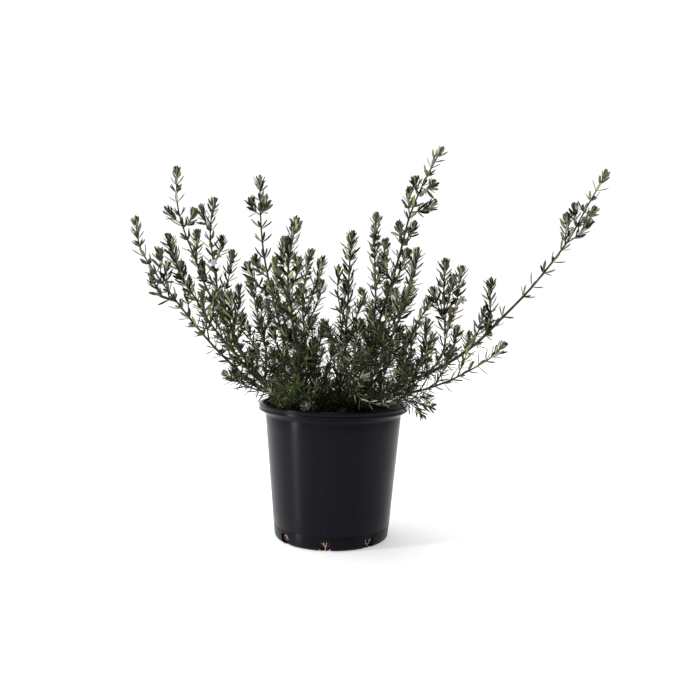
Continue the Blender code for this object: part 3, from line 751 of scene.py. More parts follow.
def leaf_template(shares):
    """The faces of one leaf and their map: across and along its tile, the upper side in one half."""
    quads, quad_map, tris, tri_map = [], [], [], []
    halves = ((0, (0, 0.5)), (0, (0.5, 1)), (1, (1, 0.5)), (1, (0.5, 0)))
    for ring in range(len(shares) - 1):
        for corner, (half, (near, far)) in enumerate(halves):
            following = (corner + 1) % 4
            quads.append(
                (4 * ring + corner, 4 * ring + following, 4 * ring + 4 + following, 4 * ring + 4 + corner)
            )
            low, high = shares[ring], shares[ring + 1]
            quad_map.append([(half, near, low), (half, far, low), (half, far, high), (half, near, high)])
    quads.append((LEFT, BOTTOM, RIGHT, TOP))
    quad_map.append([(0, 0, 0.02), (0, 0.5, 0), (0, 1, 0.02), (0, 0.5, 0.05)])
    last = 4 * (len(shares) - 1)
    for corner, (half, (near, far)) in enumerate(halves):
        tris.append((last + corner, last + (corner + 1) % 4, last + 4))
        tri_map.append([(half, near, shares[-1]), (half, far, shares[-1]), (half, 0.5, 1)])
    return np.array(quads), np.array(quad_map, float), np.array(tris), np.array(tri_map, float)


def add_leaves(faces, leaves, leaf_rings):
    """Narrow blades with their margins rolled under, each curved a little along its length."""
    root, along, normal, length, width, bend, tone, look = (np.array(values) for values in zip(*leaves))
    across = np.cross(along, normal)
    share, half_width, thickness = leaf_rings.T
    reach = length[:, None] * share
    middle = (
        root[:, None]
        + along[:, None] * reach[..., None]
        + normal[:, None] * (bend[:, None] * reach * share)[..., None]
    )
    half = (width[:, None] / 2 * half_width)[..., None]
    depth = (LEAF_THICKNESS * thickness * np.minimum(1, length[:, None] / 9))[..., None]
    side, up = across[:, None] * half, normal[:, None]
    rings = np.stack(
        [
            middle - side - up * 0.32 * half,
            middle + up * 0.18 * half,
            middle + side - up * 0.32 * half,
            middle + up * (0.18 * half - depth),
        ],
        axis=2,
    )
    tips = root + along * length[:, None] + normal * (bend * length)[:, None]
    corners = np.concatenate([rings.reshape(len(leaves), -1, 3), tips[:, None]], axis=1)
    start = faces.add_corners(corners.reshape(-1, 3))
    firsts = start + np.arange(len(leaves)) * corners.shape[1]
    quads, quad_map, tris, tri_map = leaf_template(share)
    for template, template_map in ((quads, quad_map), (tris, tri_map)):
        side_of, place, share = (template_map[None, ..., index] for index in range(3))
        inside = TILE_MARGIN + (1 - 2 * TILE_MARGIN) * place
        u = (tone[:, None, None] + (side_of + inside) / 2) / TONES * LEAF_SHARE
        v = (look[:, None, None] + TILE_MARGIN + (1 - 2 * TILE_MARGIN) * share) / LOOKS
        faces.add_faces(firsts[:, None, None] + template[None], np.stack([u, v], axis=-1), 1)


def wall_radius(height):
    """The radius of the wall's outside at a height."""
    top = POT_HEIGHT - RIM_BAND - RIM_SLOPE
    share = (height - FOOT_ROUND) / (top - FOOT_ROUND)
    return WALL_FOOT_RADIUS + share * (WALL_TOP_RADIUS - WALL_FOOT_RADIUS)


def inner_radius(height):
    return wall_radius(height) - WALL


def on_wall(height, inset=0.0):
    """The point of the wall's outside at a height, set in by some millimetres."""
    return wall_radius(height) - inset, height


def mix_height(x, y):
    """The height of the mix's lumpy surface."""
    edge = POT_HEIGHT - MIX_DEPTH_BELOW_RIM
    reach = np.minimum(1.0, np.hypot(x, y) / inner_radius(edge))
    lumps = np.sin(0.19 * x + 0.6) * np.cos(0.23 * y) + 0.6 * np.sin(0.11 * x - 0.31 * y)
    return edge + MIX_CROWN * (1 - reach**2) + MIX_LUMP * lumps * (1 - reach**4)


def clear_of_pot(points):
    """For rows of points: whether a row is all above the rim, all over the mix, or all outside."""
    reach = np.hypot(points[..., 0], points[..., 1])
    bore = inner_radius(POT_HEIGHT - MIX_DEPTH_BELOW_RIM)
    above = (points[..., 2] > POT_HEIGHT + POT_CLEARANCE).all(axis=-1)
    outside = (reach > RIM_RADIUS + POT_CLEARANCE).all(axis=-1)
    inside = (reach < bore - POT_CLEARANCE) & (
        points[..., 2] > mix_height(points[..., 0], points[..., 1]) + POT_CLEARANCE
    )
    return above | outside | inside.all(axis=-1)


def in_box(points):
    """For rows of points: whether a row is all inside the solid model's box."""
    low, high = (np.array(corner) / MM for corner in cad_box)
    return ((points > low + BOX_MARGIN) & (points < high - BOX_MARGIN)).all(axis=(-1, -2))


def fitted(leaves):
    """The leaves that keep clear of the pot and, shortened where they must be, in the box."""
    kept = []
    for root, along, normal, length, width, bend, tone, look in leaves:
        for size in SHORTENINGS:
            tip = root + along * length * size + normal * bend * length * size
            start = root + along * min(3.5, length * size / 2)
            line = np.array((start, (start + tip) / 2, tip))
            if in_box(line) and clear_of_pot(line):
                kept.append(Leaf(root, along, normal, length * size, width, bend, tone, look))
                break
    return kept


def thicket(point):
    """How deep in the middle of the shrub a point is, from 0 to 1."""
    sideways = abs(point[0]) / THICKET_HALF_WIDTH
    above = max(0, point[2] - THICKET_HEIGHT) / THICKET_FALL
    return math.exp(-(sideways**3) - above**2)


class Grower:
    """Grows the leaves, tufts and twigs of one branch."""

    def __init__(self, plain, seed):
        self.plain = plain
        self.rng = random.Random(seed)
        self.faces = Faces()
        self.leaves = []

    def whorl(self, stem, place, count, turn, size, look, tones):
        """One ring of leaves. Returns the middle, the way out and the tangent at each leaf's axil."""
        rng = self.rng
        from_tip = stem.length - place
        axils = []
        for index in range(count):
            near = place + rng.uniform(-PLACE_SCATTER, PLACE_SCATTER) * min(1, from_tip / 6)
            middle, tangent, normal, binormal, radius = stem.at(min(max(near, 0), stem.length))
            angle = turn + math.tau * index / count + rng.uniform(-TURN_SCATTER, TURN_SCATTER)
            outward = normal * math.cos(angle) + binormal * math.sin(angle)
            deep = thicket(middle)
            spread = np.interp(from_tip, TIP_DISTANCES, LEAF_SPREADS) + INNER_SPREAD * deep
            spread = math.radians(spread + rng.gauss(0, SPREAD_SCATTER + INNER_SCATTER * deep))
            along = unit(tangent * math.cos(spread) + outward * math.sin(spread) + (0, 0, LEAF_LIFT))
            upper = unit(tangent - along * (along @ tangent) + outward * 1e-3)
            twist = rng.gauss(0, TWIST_SCATTER)
            upper = upper * math.cos(twist) + np.cross(along, upper) * math.sin(twist)
            length = np.interp(from_tip, TIP_DISTANCES, LEAF_LENGTHS) * rng.uniform(*LENGTH_SHARES) * size
            width = LEAF_WIDTH * (0.6 + 0.4 * length / LONG_LEAF) * rng.uniform(*WIDTH_SHARES)
            width *= stem.leaf_width * (1 - INNER_SLIMMING * deep)
            bend = rng.uniform(*BENDS) + INNER_BEND * deep
            age = np.interp(from_tip, AGE_DISTANCES, range(len(AGE_DISTANCES))) + rng.gauss(0, AGE_SCATTER)
            # deeper in the thicket a leaf takes an older look, whose darker colour is partly painted shade
            # for the shrub's middle
            age = round(min(max(age + INNER_AGE_AND_SHADE * deep, 0), len(AGE_DISTANCES) - 1))
            root = middle + outward * max(0.0, radius - LEAF_SINK)
            tone = rng.choice(tones if from_tip < YOUNG_REACH else PLAIN_TONES)
            shown = age if look is None else look
            self.leaves.append(Leaf(root, along, upper, length, width, bend, tone, shown))
            axils.append((middle, outward, tangent))
        return axils

    def leaf_out(self, stem, size=1.0, look=None, tufts=1.0):
        """Leaves along a stem from its tip down, with small shoots in some of their axils."""
        rng = self.rng
        sunny = SUNNY_SHARE * (1 - thicket(stem.points[-1])) ** 2
        tones = SUNNY_TONES if rng.random() < sunny else PLAIN_TONES
        place = stem.length - 0.8
        number = rng.randrange(2)
        knots = []
        low, high = self.plain
        while place > stem.bare:
            from_tip = stem.length - place
            count = 4 if from_tip > 3 or size == 1 else 3
            turn = math.pi / count * number + rng.uniform(-0.1, 0.1)
            if rng.random() < np.interp(from_tip, LOSS_DISTANCES, WHORLS_KEPT):
                knots.append(place)
                axils = self.whorl(stem, place, count, turn, size, look, tones)
                if tufts and from_tip > TUFTS_FROM_TIP and not low < axils[0][0][2] < high:
                    for axil in axils:
                        self.axil_shoot(axil, tufts)
            number += 1
            step = np.interp(from_tip, TIP_DISTANCES, LEAF_SPACINGS) * stem.spacing
            step *= 1 - INNER_CROWDING * thicket(stem.on_line(max(place, 0))[0])
            place -= step * rng.uniform(*STEP_SHARES)
        stem.add_to(self.faces, knots)

    def axil_shoot(self, axil, tufts):
        """A long twig from an axil in the thicket, or a short tuft, or more often nothing."""
        deep = thicket(axil[0])
        draw = self.rng.random()
        if draw < LONG_TWIG_SHARE * deep * tufts:
            self.twig(axil, self.rng.uniform(*LONG_TWIGS), LONG_TWIG_LEAVES)
        elif draw < (TUFT_SHARE - INNER_TUFT_LOSS * deep) * tufts:
            self.twig(axil, self.rng.uniform(*TUFTS), TUFT_LEAVES)

    def twig(self, axil, length, size):
        """A short shoot that leaves an axil at an angle and curves upward."""
        rng = self.rng
        middle, outward, tangent = axil
        way = unit(tangent * 0.75 + outward * rng.uniform(0.7, 1.1))
        lift = unit(way + np.array((rng.uniform(-0.3, 0.3), rng.uniform(-0.3, 0.3), 0.7)))
        knee = middle + way * length * 0.45
        end = knee + lift * length * 0.55
        points = smooth_path([middle, knee, end], min(RING_SPACING * 2, length / 2))
        tip = end + lift * 5
        line = np.array((knee, end, tip))
        if not (in_box(line) and clear_of_pot(line)):
            return
        bare = min(2.0, length / 4)
        radius = min(0.95, 0.45 + 0.02 * length)
        stem = Stem(points, radius, TWIG_SIDES, bare, spacing=TWIG_SPACING)
        self.leaf_out(stem, size, tufts=0)

    def finish(self, name, materials):
        leaves = fitted(self.leaves)
        for slim, leaf_rings in ((False, BROAD_RINGS), (True, SLIM_RINGS)):
            some = [leaf for leaf in leaves if (leaf.width < SLIM_WIDTH) == slim]
            if some:
                add_leaves(self.faces, some, leaf_rings)
        return self.faces.to_object(name, materials)


def main_stem(branch):
    """The branch's main stem, straight where it is in the mix."""
    mouth = np.array((*branch.root, mix_height(*branch.root)))
    lean = np.array(branch.path[0]) - mouth
    sideways = min(1.0, STEEPEST_LEAN * lean[2] / math.hypot(lean[0], lean[1]))
    straight = unit(np.array((lean[0] * sideways, lean[1] * sideways, lean[2])))
    buried = mouth - straight * ROOT_DEPTH
    risen = mouth + straight * ROOT_LIFT
    steps = np.linspace(0, 1, 8, endpoint=False)[:, None]
    points = np.vstack([buried + (risen - buried) * steps, smooth_path([risen, *branch.path], RING_SPACING)])
    points = Stem(points, branch.radius).shortened(TIP_LEAVES_REACH)
    return Stem(points, branch.radius, bare=ROOT_DEPTH + BARE_BY_POT, spacing=branch.spacing)


def side_stem(main, path, radius=SIDE_RADIUS, dry=False, reach=TIP_LEAVES_REACH):
    """A stem from the point on the main stem nearest to the path's start."""
    fork, _, _, _, fork_radius = main.at(main.nearest(np.array(path[0])))
    radius = min(radius, FORK_SHARE * fork_radius)
    points = Stem(smooth_path([fork, *path[1:]], RING_SPACING), radius).shortened(reach)
    return Stem(points, radius, bare=SIDE_BARE, dry=dry, spacing=SIDE_SPACING)


def build_branches(materials):
    for index, (name, branch) in enumerate(BRANCHES.items()):
        grower = Grower(branch.plain, SEED * 100 + index)
        main = main_stem(branch)
        grower.leaf_out(main, look=branch.look)
        for path in branch.side_shoots + branch.fine_shoots:
            side = side_stem(main, path)
            side.spacing *= branch.side_spacing
            grower.leaf_out(side, tufts=SIDE_TUFTS / branch.side_spacing**2)
        for path in branch.dry:
            side_stem(main, path, DRY_TWIG_RADIUS, dry=True, reach=DRY_TWIG_REACH).add_to(grower.faces)
        for sort, twig in TWIGS.items():
            for path in getattr(branch, sort):
                stem = side_stem(main, path, twig.radius, twig.dry, twig.reach)
                stem.spacing, stem.leaf_width, stem.bare = twig.spacing, twig.leaf_width, twig.bare
                grower.leaf_out(stem, twig.size, twig.look, tufts=0)
        node = "branch_" + name
        piece = grower.finish("leafy_" + name, materials)
        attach(piece, "root")
        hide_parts(node)


def object_from(name, bm, material):
    """An object made from a bmesh in millimetres."""
    bmesh.ops.recalc_face_normals(bm, faces=bm.faces)
    bmesh.ops.scale(bm, vec=(MM, MM, MM), verts=bm.verts)
    mesh = bpy.data.meshes.new(name)
    bm.to_mesh(mesh)
    bm.free()
    mesh.materials.append(material)
    return linked(name, mesh)


def turned(profile, sides):
    """The bmesh that a profile of (radius, height) points makes when it turns round the Z axis."""
    bm = bmesh.new()
    verts = [bm.verts.new((radius, 0, height)) for radius, height in profile]
    edges = [bm.edges.new(pair) for pair in zip(verts, verts[1:])]
    bmesh.ops.spin(
        bm, geom=verts + edges, axis=(0, 0, 1), cent=(0, 0, 0), angle=math.tau, steps=sides, use_merge=True
    )
    bmesh.ops.remove_doubles(bm, verts=bm.verts, dist=1e-4)
    return bm


def corner_round(centre, radius, first, last, steps):
    """Points on an arc of a turned profile, between two angles in degrees from its outward way."""
    turns = [math.radians(first + (last - first) * step / steps) for step in range(steps + 1)]
    return [(centre[0] + radius * math.cos(turn), centre[1] + radius * math.sin(turn)) for turn in turns]


def pot_profile():
    """The pot's section from the middle of its underside, up its outside and down its inside."""
    under_rim = POT_HEIGHT - RIM_BAND
    slope_foot = under_rim - RIM_SLOPE
    foot_centre = WALL_FOOT_RADIUS - FOOT_ROUND
    profile = [(0, 0.9), (52, 0.9), (54, 0.2), (55, 0), (foot_centre - 0.5, 0)]
    profile += corner_round((foot_centre, FOOT_ROUND), FOOT_ROUND, -90, 0, 8)
    profile += [on_wall(FOOT_LINE - 1.0), on_wall(FOOT_LINE, FOOT_STEP), on_wall(FOOT_LINE + 1.0)]
    for share in (0.15, 0.3, 0.45, 0.6, 0.75, 0.88):
        profile.append(on_wall(FOOT_LINE + share * (slope_foot - FOOT_LINE)))
    profile += [on_wall(slope_foot - 4.2), on_wall(slope_foot - 3.2, 0.3), on_wall(slope_foot - 0.8, 0.3)]
    profile += [(WALL_TOP_RADIUS, slope_foot), (RIM_RADIUS - RIM_EDGE - 0.6, under_rim - 0.3)]
    profile += corner_round((RIM_RADIUS - RIM_EDGE, under_rim + RIM_EDGE), RIM_EDGE, -80, 0, 4)
    profile += [
        (RIM_RADIUS, under_rim + 2.4),
        (RIM_RADIUS - RIM_BEAD, under_rim + 3.2),
        (RIM_RADIUS - RIM_BEAD, under_rim + 4.4),
        (RIM_RADIUS, under_rim + 5.2),
    ]
    profile += corner_round((RIM_RADIUS - RIM_EDGE, POT_HEIGHT - RIM_EDGE), RIM_EDGE, 0, 90, 5)
    profile += [(RIM_RADIUS - RIM_LIP + 0.8, POT_HEIGHT)]
    profile += corner_round((RIM_RADIUS - RIM_LIP + 0.8, POT_HEIGHT - 0.8), 0.8, 90, 180, 3)
    profile += [
        (inner_radius(slope_foot) + 0.6, slope_foot + 1.5),
        (inner_radius(slope_foot), slope_foot),
        (inner_radius(POT_HEIGHT / 2), POT_HEIGHT / 2),
        (inner_radius(FOOT_ROUND), FOOT_ROUND),
        (foot_centre, WALL),
        (0, WALL),
    ]
    return profile


def hole_frame(hole):
    """The way out through a drain hole and the way across it."""
    turn = FRONT_HOLE_TURN - math.pi / 2 + math.tau * hole / DRAIN_HOLES
    outward = Vector((math.cos(turn), math.sin(turn), 0))
    return outward, Vector((-outward.y, outward.x, 0))


def drain_hole_cutter(material):
    """Arched blocks across the foot of the wall, one for each drain hole."""
    outline = [(-DRAIN_WIDTH / 2, -WALL), (DRAIN_WIDTH / 2, -WALL)]
    for step in range(DRAIN_ARCH_STEPS + 1):
        turn = math.pi * step / DRAIN_ARCH_STEPS
        drop = DRAIN_ARCH * (1 - math.sin(turn))
        outline.append((DRAIN_WIDTH / 2 * math.cos(turn), DRAIN_HEIGHT - drop))
    bm = bmesh.new()
    for hole in range(DRAIN_HOLES):
        outward, across = hole_frame(hole)
        start = outward * (WALL_FOOT_RADIUS - DRAIN_REACH)
        verts = [bm.verts.new(start + across * x + Vector((0, 0, z))) for x, z in outline]
        block = bmesh.ops.extrude_face_region(bm, geom=[bm.faces.new(verts)])["geom"]
        moved = [item for item in block if isinstance(item, bmesh.types.BMVert)]
        bmesh.ops.translate(bm, verts=moved, vec=outward * (DRAIN_REACH + 2 * FOOT_ROUND))
    return object_from("drain_hole_cutter", bm, material)


def build_pot(material):
    pot = object_from("nursery_pot", turned(pot_profile(), POT_SIDES), material)
    cutter = drain_hole_cutter(material)
    apply_modifier(pot, "BOOLEAN", object=cutter)
    bpy.data.objects.remove(cutter)
    pot.data.shade_smooth()
    pot.data.set_sharp_from_angle(angle=POT_SHARP_ANGLE)
    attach(pot, "root")
    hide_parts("pot")


def build_mix(material):
    """The mix: a crumbly top and a side that shows in the drain holes."""
    edge = POT_HEIGHT - MIX_DEPTH_BELOW_RIM
    bottom = WALL + 0.3
    corner = WALL_FOOT_RADIUS - FOOT_ROUND
    heights = [FOOT_ROUND + 0.3, 9, 12, 15, 18, 22, 40, 80, 120, edge - 4, edge]
    profile = [(0, bottom), (corner / 2, bottom), (corner - 0.3, bottom)]
    profile += [(inner_radius(height) - WALL_GAP, height) for height in heights]
    rim = profile[-1][0]
    profile += [(rim * (1 - ring / MIX_RINGS), edge) for ring in range(1, MIX_RINGS + 1)]
    bm = turned(profile, MIX_SIDES)
    for vert in bm.verts:
        reach = math.hypot(vert.co.x, vert.co.y)
        crumb = noise.noise(vert.co * 0.45) + 0.6 * noise.noise(vert.co * 1.1)
        if vert.co.z == edge:
            vert.co.z = mix_height(vert.co.x, vert.co.y) + MIX_ROUGHNESS * crumb
        elif vert.co.z > bottom and reach > 1:
            inward = (0.5 + 0.5 * crumb) / reach
            vert.co.x -= vert.co.x * inward
            vert.co.y -= vert.co.y * inward
    mix = object_from("bark_mix_bed", bm, material)
    mix.data.shade_smooth()
    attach(mix, "root")
    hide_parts("potting_mix")


def add_chip(bm, rng, length):
    """A flat sliver of bark at the origin, tilted any way. Returns its corners and its thickness."""
    size = Vector((length, length * rng.uniform(0.3, 0.6), rng.uniform(0.8, 1.8)))
    chip = bmesh.ops.create_cube(bm, size=1)["verts"]
    for vert in chip:
        taper = 1 - 0.45 * (vert.co.x > 0) * rng.random()
        vert.co = Vector((vert.co.x, vert.co.y * taper, vert.co.z * taper)) * rng.uniform(0.8, 1.1)
        vert.co = Vector((vert.co.x * size.x, vert.co.y * size.y, vert.co.z * size.z))
    tilt = Matrix.Rotation(rng.uniform(0, math.tau), 3, "Z") @ Matrix.Rotation(rng.gauss(0, 0.3), 3, "Y")
    bmesh.ops.rotate(bm, verts=chip, cent=(0, 0, 0), matrix=tilt)
    return chip, size.z


def build_chips(material):
    """Bark chips that lie on the mix, and crumbs of it in the bottom of the drain holes."""
    rng = random.Random(SEED)
    bm = bmesh.new()
    reach = inner_radius(POT_HEIGHT - MIX_DEPTH_BELOW_RIM) - CHIPS_FROM_WALL
    for _ in range(CHIPS):
        distance, turn = reach * math.sqrt(rng.random()), rng.uniform(0, math.tau)
        x, y = distance * math.cos(turn), distance * math.sin(turn)
        chip, thickness = add_chip(bm, rng, rng.uniform(*CHIP_LENGTHS))
        height = mix_height(x, y) + thickness * rng.uniform(0.1, 0.5)
        bmesh.ops.translate(bm, verts=chip, vec=Vector((x, y, height)))
    for hole in range(DRAIN_HOLES):
        outward, across = hole_frame(hole)
        for _ in range(CRUMBS):
            length = rng.uniform(*CRUMB_LENGTHS)
            chip, _ = add_chip(bm, rng, length)
            side = rng.uniform(-1, 1) * (DRAIN_WIDTH - length) / 2
            place = outward * (WALL_FOOT_RADIUS - rng.uniform(*CRUMB_DEPTHS)) + across * side
            lowest = min(vert.co.z for vert in chip)
            lift = rng.uniform(0.1, 2.0) - lowest
            bmesh.ops.translate(bm, verts=chip, vec=place + Vector((0, 0, lift)))
    chips = object_from("bark_chips", bm, material)
    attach(chips, "root")


def build_roots(material):
    """Pale root strands on the side of the mix in the drain holes."""
    faces = Faces()
    for hole, strands in ROOT_STRANDS.items():
        outward, across = hole_frame(hole)
        for strand in strands:
            points = []
            for x, height in strand:
                low = height < FOOT_ROUND
                depth = inner_radius(max(height, FOOT_ROUND)) - WALL_GAP - 0.3 - (0.5 if low else 0)
                depth = math.sqrt(depth**2 - x**2)
                points.append(np.array(outward * depth + across * x) + (0, 0, max(height, LOWEST_ROOT)))
            Stem(smooth_path(points, 1.2), ROOT_WIDTH, ROOT_SIDES).add_to(faces)
    roots = faces.to_object("drain_roots", [material])
    roots.data.uv_layers.remove(roots.data.uv_layers["OFBake"])
    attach(roots, "root")


def build_flowers(material):
    """Small five-lobed flowers: two lobes above and three longer ones below."""
    bm = bmesh.new()
    layer = bm.loops.layers.uv.new("place")
    turns, rings = FLOWER_TURNS, FLOWER_RINGS
    for place, facing in FLOWERS:
        facing = Vector(facing).normalized()
        right = facing.cross(Vector((0, 0, 1))).normalized()
        up = right.cross(facing)
        grid = []
        for ring in range(rings + 1):
            share = ring / rings
            row = []
            for step in range(turns):
                turn = math.tau * step / turns
                lobe = abs(math.cos(2.5 * (turn - math.pi / 2 + math.pi / 5))) ** 0.55
                longest = 1.0 if math.sin(turn) < 0.2 else 0.82
                edge = FLOWER_RADIUS * longest * (0.36 + 0.64 * lobe)
                reach = 0.9 + max(0, share - 0.3) / 0.7 * (edge - 0.9)
                depth = -4.5 * (1 - min(1, share / 0.35)) - 1.6 * max(0, share - 0.5) ** 2
                offset = right * math.cos(turn) * reach + up * math.sin(turn) * reach + facing * depth
                row.append(bm.verts.new(Vector(place) + offset))
            grid.append(row)
        for ring in range(rings):
            for step in range(turns):
                after = (step + 1) % turns
                face = bm.faces.new(
                    (grid[ring][step], grid[ring][after], grid[ring + 1][after], grid[ring + 1][step])
                )
                for loop, (a, b) in zip(face.loops, ((0, 0), (1, 0), (1, 1), (0, 1))):
                    loop[layer].uv = ((step + a) / turns, (ring + b) / rings)
    flowers = object_from("flowers", bm, material)
    apply_modifier(flowers, "SOLIDIFY", thickness=PETAL_THICKNESS * MM)
    flowers.data.shade_smooth()
    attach(flowers, "root")


class Nodes:
    """A node tree being made, with short calls for its nodes."""

    def __init__(self, tree):
        self.tree = tree

    def put(self, socket, value):
        if isinstance(value, bpy.types.NodeSocket):
            self.tree.links.new(value, socket)
        else:
            socket.default_value = value

    def node(self, kind, output=0, inputs=None, **settings):
        node = self.tree.nodes.new(kind)
        for key, value in settings.items():
            setattr(node, key, value)
        for key, value in (inputs or {}).items():
            self.put(node.inputs[key], value)
        return node.outputs[output]

    def times(self, first, second):
        return self.math("MULTIPLY", first, second)

    def math(self, operation, *values):
        return self.node("ShaderNodeMath", 0, dict(enumerate(values)), operation=operation)

    def split(self, vector):
        """The first two coordinates of a vector."""
        first = self.node("ShaderNodeSeparateXYZ", 0, {0: vector})
        return first, first.node.outputs[1]


class Finish(Nodes):
    """A material being made."""

    def __init__(self, name, roughness, specular):
        self.material = bpy.data.materials.new(name)
        self.material.use_nodes = True
        super().__init__(self.material.node_tree)
        self.shader = self.tree.nodes["Principled BSDF"]
        self.shader.inputs["Roughness"].default_value = roughness
        self.shader.inputs["Specular IOR Level"].default_value = specular

    def ramp(self, share, stops):
        output = self.node("ShaderNodeValToRGB", 0, {0: share})
        ramp = output.node.color_ramp
        while len(ramp.elements) < len(stops):
            ramp.elements.new(1)
        for element, (place, colour) in zip(ramp.elements, stops):
            element.position = place
            element.color = (*colour, 1) if isinstance(colour, tuple) else (colour, colour, colour, 1)
        return output

    def mix(self, share, first, second, blend="MIX"):
        inputs = {0: share, 6: first, 7: second}
        return self.node("ShaderNodeMix", 2, inputs, data_type="RGBA", blend_type=blend)

    def cover(self, colour, share, stops, top):
        """The colour with another over it, as dense as the ramp makes of the share."""
        return self.mix(self.ramp(share, stops), colour, top)

    def shade(self, colour, tint):
        return self.mix(1.0, colour, tint, "MULTIPLY")

    def noise(self, vector, scale, detail=3.0, roughness=0.5):
        inputs = {"Vector": vector, "Scale": scale, "Detail": detail, "Roughness": roughness}
        return self.node("ShaderNodeTexNoise", 0, inputs)

    def grain(self, scales, detail, roughness=0.5):
        """Noise with a scale for each axis."""
        way = self.node("ShaderNodeMapping", 0, {"Vector": self.position(), "Scale": scales})
        return self.noise(way, 1.0, detail, roughness)

    def vector(self, x, y):
        return self.node("ShaderNodeCombineXYZ", 0, {0: x, 1: y})

    def place_map(self):
        """The two coordinates of the map named place."""
        return self.split(self.node("ShaderNodeUVMap", uv_map="place"))

    def scaled_map(self, across, along):
        u, v = self.place_map()
        return self.vector(self.times(u, across), self.times(v, along))

    def position(self):
        return self.node("ShaderNodeTexCoord", "Object")

    def bump(self, height, distance, strength):
        inputs = {"Height": height, "Distance": distance, "Strength": strength}
        self.put(self.shader.inputs["Normal"], self.node("ShaderNodeBump", 0, inputs))

    def colour(self, value):
        self.put(self.shader.inputs["Base Color"], value)

    def roughness(self, value):
        self.put(self.shader.inputs["Roughness"], value)


def leaf_finish():
    """Leaves by tile of the map: tone by column, look by row, the felted underside in the right half."""
    finish = Finish("leaf", 0.5, 0.13)
    u, v = finish.place_map()
    column = finish.times(u, TONES / LEAF_SHARE)
    row = finish.times(v, LOOKS)
    tone, look = finish.math("FLOOR", column), finish.math("FLOOR", row)
    halves = finish.times(finish.math("FRACT", column), 2.0)
    felted = finish.math("FLOOR", halves)
    across = finish.math("FRACT", halves)
    along = finish.math("FRACT", row)
    from_midrib = finish.times(finish.math("ABSOLUTE", finish.math("SUBTRACT", across, 0.5)), 2.0)
    share = finish.math("DIVIDE", finish.math("ADD", look, 0.001), LOOKS - 1.0)
    steps = [step / (LOOKS - 1) for step in range(LOOKS)]
    upper = finish.ramp(share, list(zip(steps, UPPER_COLOURS)))
    under = finish.ramp(share, list(zip(steps, UNDER_COLOURS)))
    specks = finish.scaled_map(58.0, 136.0)
    mottle = finish.noise(specks, 0.5, 4.0)
    fine = finish.noise(specks, 2.2, 2.0)
    upper = finish.cover(upper, mottle, ((0.3, 0.0), (0.7, 0.5)), LEAF_MOTTLE)
    upper = finish.cover(upper, from_midrib, ((0.78, 0.0), (1.0, 0.4)), LEAF_MARGIN)
    groove = finish.ramp(from_midrib, ((0.0, 0.55), (0.16, 0.0)))
    upper = finish.mix(groove, upper, LEAF_GROOVE)
    under = finish.cover(under, from_midrib, ((0.06, 0.6), (0.16, 0.0)), FELT_RIB)
    under = finish.cover(under, from_midrib, ((0.5, 0.0), (0.68, 0.85)), upper)
    colour = finish.mix(felted, upper, under)
    colour = finish.cover(colour, along, ((0.0, 0.6), (0.14, 0.0)), LEAF_BASE)
    tile = finish.node("ShaderNodeTexWhiteNoise", "Value", {"Vector": finish.vector(tone, look)})
    colour = finish.shade(colour, finish.ramp(tile, LEAF_SHADES))
    colour = finish.shade(colour, finish.ramp(fine, ((0.3, 0.86), (0.7, 1.1))))
    sunny = finish.math("GREATER_THAN", tone, SUNNY_TONES[0] - 0.5)
    finish.colour(finish.mix(sunny, colour, finish.shade(colour, SUNNY_TINT)))
    finish.roughness(finish.mix(felted, UPPER_ROUGHNESS, UNDER_ROUGHNESS))
    height = finish.math("ADD", finish.times(fine, 0.5), finish.times(groove, -1.0))
    finish.bump(height, 0.1 * MM, 0.7)
    return finish.material


def bark_finish():
    """Stems by the map: age runs up the strip, from felted green tips to brown wood."""
    finish = Finish("stem_bark", 0.85, 0.25)
    colour = finish.ramp(finish.place_map()[1], BARK_COLOURS)
    streaks = finish.noise(finish.scaled_map(150.0, 70.0), 1.0, 4.0, 0.6)
    colour = finish.shade(colour, finish.ramp(streaks, ((0.3, 0.55), (0.7, 1.35))))
    patches = finish.noise(finish.scaled_map(20.0, 40.0), 1.0, 2.0)
    finish.colour(finish.cover(colour, patches, ((0.52, 0.0), (0.68, 0.5)), BARK_LICHEN))
    finish.bump(streaks, 0.25 * MM, 0.8)
    return finish.material


def plastic_finish():
    """Satin black plastic with a fine moulded grain, scuffs and a little dust."""
    finish = Finish("black_pot_plastic", 0.34, 0.16)
    finish.shader.inputs["Anisotropic"].default_value = 0.92
    finish.shader.inputs["Anisotropic Rotation"].default_value = 0.25
    finish.shader.inputs["Specular Tint"].default_value = PLASTIC_SHEEN
    position = finish.position()
    cloud = finish.noise(position, 28.0, 5.0, 0.6)
    scuffs = finish.grain((260.0, 260.0, 26.0), 3.0, 0.7)
    dust = finish.ramp(cloud, ((0.45, 0.0), (0.75, 0.5)))
    marks = finish.ramp(scuffs, ((0.62, 0.0), (0.74, 0.35)))
    finish.colour(finish.mix(marks, finish.mix(dust, POT_BLACK, POT_DUST), POT_SCUFF))
    rough = finish.ramp(cloud, ((0.25, 0.31), (0.75, 0.38)))
    finish.roughness(finish.mix(marks, rough, SCUFF_ROUGHNESS))
    moulding = finish.times(finish.noise(position, 900.0, 2.0), 0.12)
    finish.bump(finish.math("ADD", moulding, finish.noise(position, 40.0, 1.0)), 0.15 * MM, 0.5)
    return finish.material


